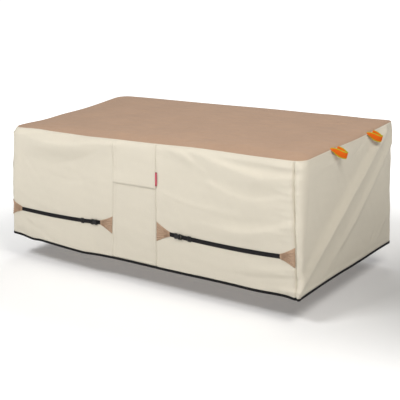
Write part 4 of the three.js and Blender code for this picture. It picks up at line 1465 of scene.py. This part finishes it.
Softbox = namedtuple("Softbox", "name place target width height power tint")
SOFTBOXES = (
    Softbox("key softbox", (-1.2, -4.0, 3.9), (0, 0, -0.35), 1.8, 1.4, 192, (1.0, 1.0, 1.0)),
    Softbox("right softbox", (3.4, -1.7, 4.4), (0.6, 0, -0.35), 3.2, 2.4, 186, (1.0, 0.965, 0.91)),
    Softbox("back softbox", (-1.4, 3.2, 3.2), (0, 0, 0), 3.0, 2.2, 84, (1.0, 1.0, 1.0)),
)
FLOOR_REACH = 60.0
ROOM_LIGHT = 0.1
# Painted glow of the floor: its strength beside the cover, and the distances from the middle over which it
# grows to full strength
FLOOR_GLOW = 0.2
GLOW_NEAR = 1.5
GLOW_FAR = 4.0
# Painted shadow on the floor to the right of the cover: its middle, the distance over which it fades out,
# and the share of colour and glow it takes away at its middle
PAINTED_SHADOW_PLACE = (1.9, 0.3, -0.85)
PAINTED_SHADOW_REACH = 1.5
PAINTED_SHADOW_DEPTH = 0.7


def hang_softbox(box):
    lamp = bpy.data.lights.new(box.name, "AREA")
    lamp.shape = "RECTANGLE"
    lamp.size = box.width
    lamp.size_y = box.height
    lamp.energy = box.power
    lamp.color = box.tint
    light = bpy.data.objects.new(box.name, lamp)
    light.location = box.place
    light.rotation_euler = (Vector(box.target) - Vector(box.place)).to_track_quat("-Z", "Y").to_euler()
    bpy.context.scene.collection.objects.link(light)


class COVER_OT_stage(bpy.types.Operator):
    """Sets up the pale floor, the soft lights and the camera"""

    bl_idname = "cover.stage"
    bl_label = "Studio"

    def execute(self, context):
        scene = context.scene
        bm = bmesh.new()
        bmesh.ops.create_grid(bm, x_segments=4, y_segments=4, size=FLOOR_REACH)
        bmesh.ops.translate(bm, verts=bm.verts[:], vec=(0, 0, -sizes().floor))
        mesh = bpy.data.meshes.new("studio_floor")
        bm.to_mesh(mesh)
        bm.free()
        mesh.materials.append(studio_floor("pale floor", colours().floor, FLOOR_GLOW))
        floor = bpy.data.objects.new("studio_floor", mesh)
        scene.collection.objects.link(floor)

        for box in SOFTBOXES:
            hang_softbox(box)
        world = bpy.data.worlds.new("studio")
        world.use_nodes = True
        background = world.node_tree.nodes["Background"]
        background.inputs["Color"].default_value = (1.0, 1.0, 1.0, 1.0)
        background.inputs["Strength"].default_value = ROOM_LIGHT
        scene.world = world
        scene.view_settings.view_transform = "Standard"

        lens = bpy.data.cameras.new("camera")
        lens.sensor_width = SENSOR
        lens.lens = FOCAL_PIXELS * SENSOR / PICTURE_WIDTH
        lens.clip_end = VIEW_DEPTH
        camera = bpy.data.objects.new("camera", lens)
        camera.location = CAMERA_PLACE
        camera.rotation_euler = (math.radians(90 - CAMERA_ELEVATION), 0, math.radians(CAMERA_AZIMUTH))
        scene.collection.objects.link(camera)
        scene.camera = camera
        return {"FINISHED"}


OPERATORS = (
    COVER_OT_stage,
    COVER_OT_top,
    COVER_OT_walls,
    COVER_OT_binding,
    COVER_OT_patches,
    COVER_OT_webbing,
    COVER_OT_buckles,
    COVER_OT_handles,
    COVER_OT_tab,
    COVER_OT_stitching,
)


class COVER_PT_panel(bpy.types.Panel):
    """Lists the pieces of the cover"""

    bl_idname = "COVER_PT_panel"
    bl_label = "Patio Dining Set Cover"
    bl_space_type = "VIEW_3D"
    bl_region_type = "UI"
    bl_category = "Cover"

    def draw(self, context):
        layout = self.layout
        for group in (context.scene.cover_sizes, context.scene.cover_colours):
            box = layout.box()
            for name in group.__annotations__:
                box.prop(group, name)
        for operator in OPERATORS:
            layout.operator(operator.bl_idname)


CLASSES = (CoverSizes, CoverColours, *OPERATORS, COVER_PT_panel)


def register():
    for cls in CLASSES:
        bpy.utils.register_class(cls)
    bpy.types.Scene.cover_sizes = PointerProperty(type=CoverSizes)
    bpy.types.Scene.cover_colours = PointerProperty(type=CoverColours)


def unregister():
    del bpy.types.Scene.cover_colours
    del bpy.types.Scene.cover_sizes
    for cls in reversed(CLASSES):
        bpy.utils.unregister_class(cls)


def main():
    register()
    for operator in OPERATORS:
        group, name = operator.bl_idname.split(".")
        getattr(getattr(bpy.ops, group), name)()


if __name__ == "__main__":
    main()
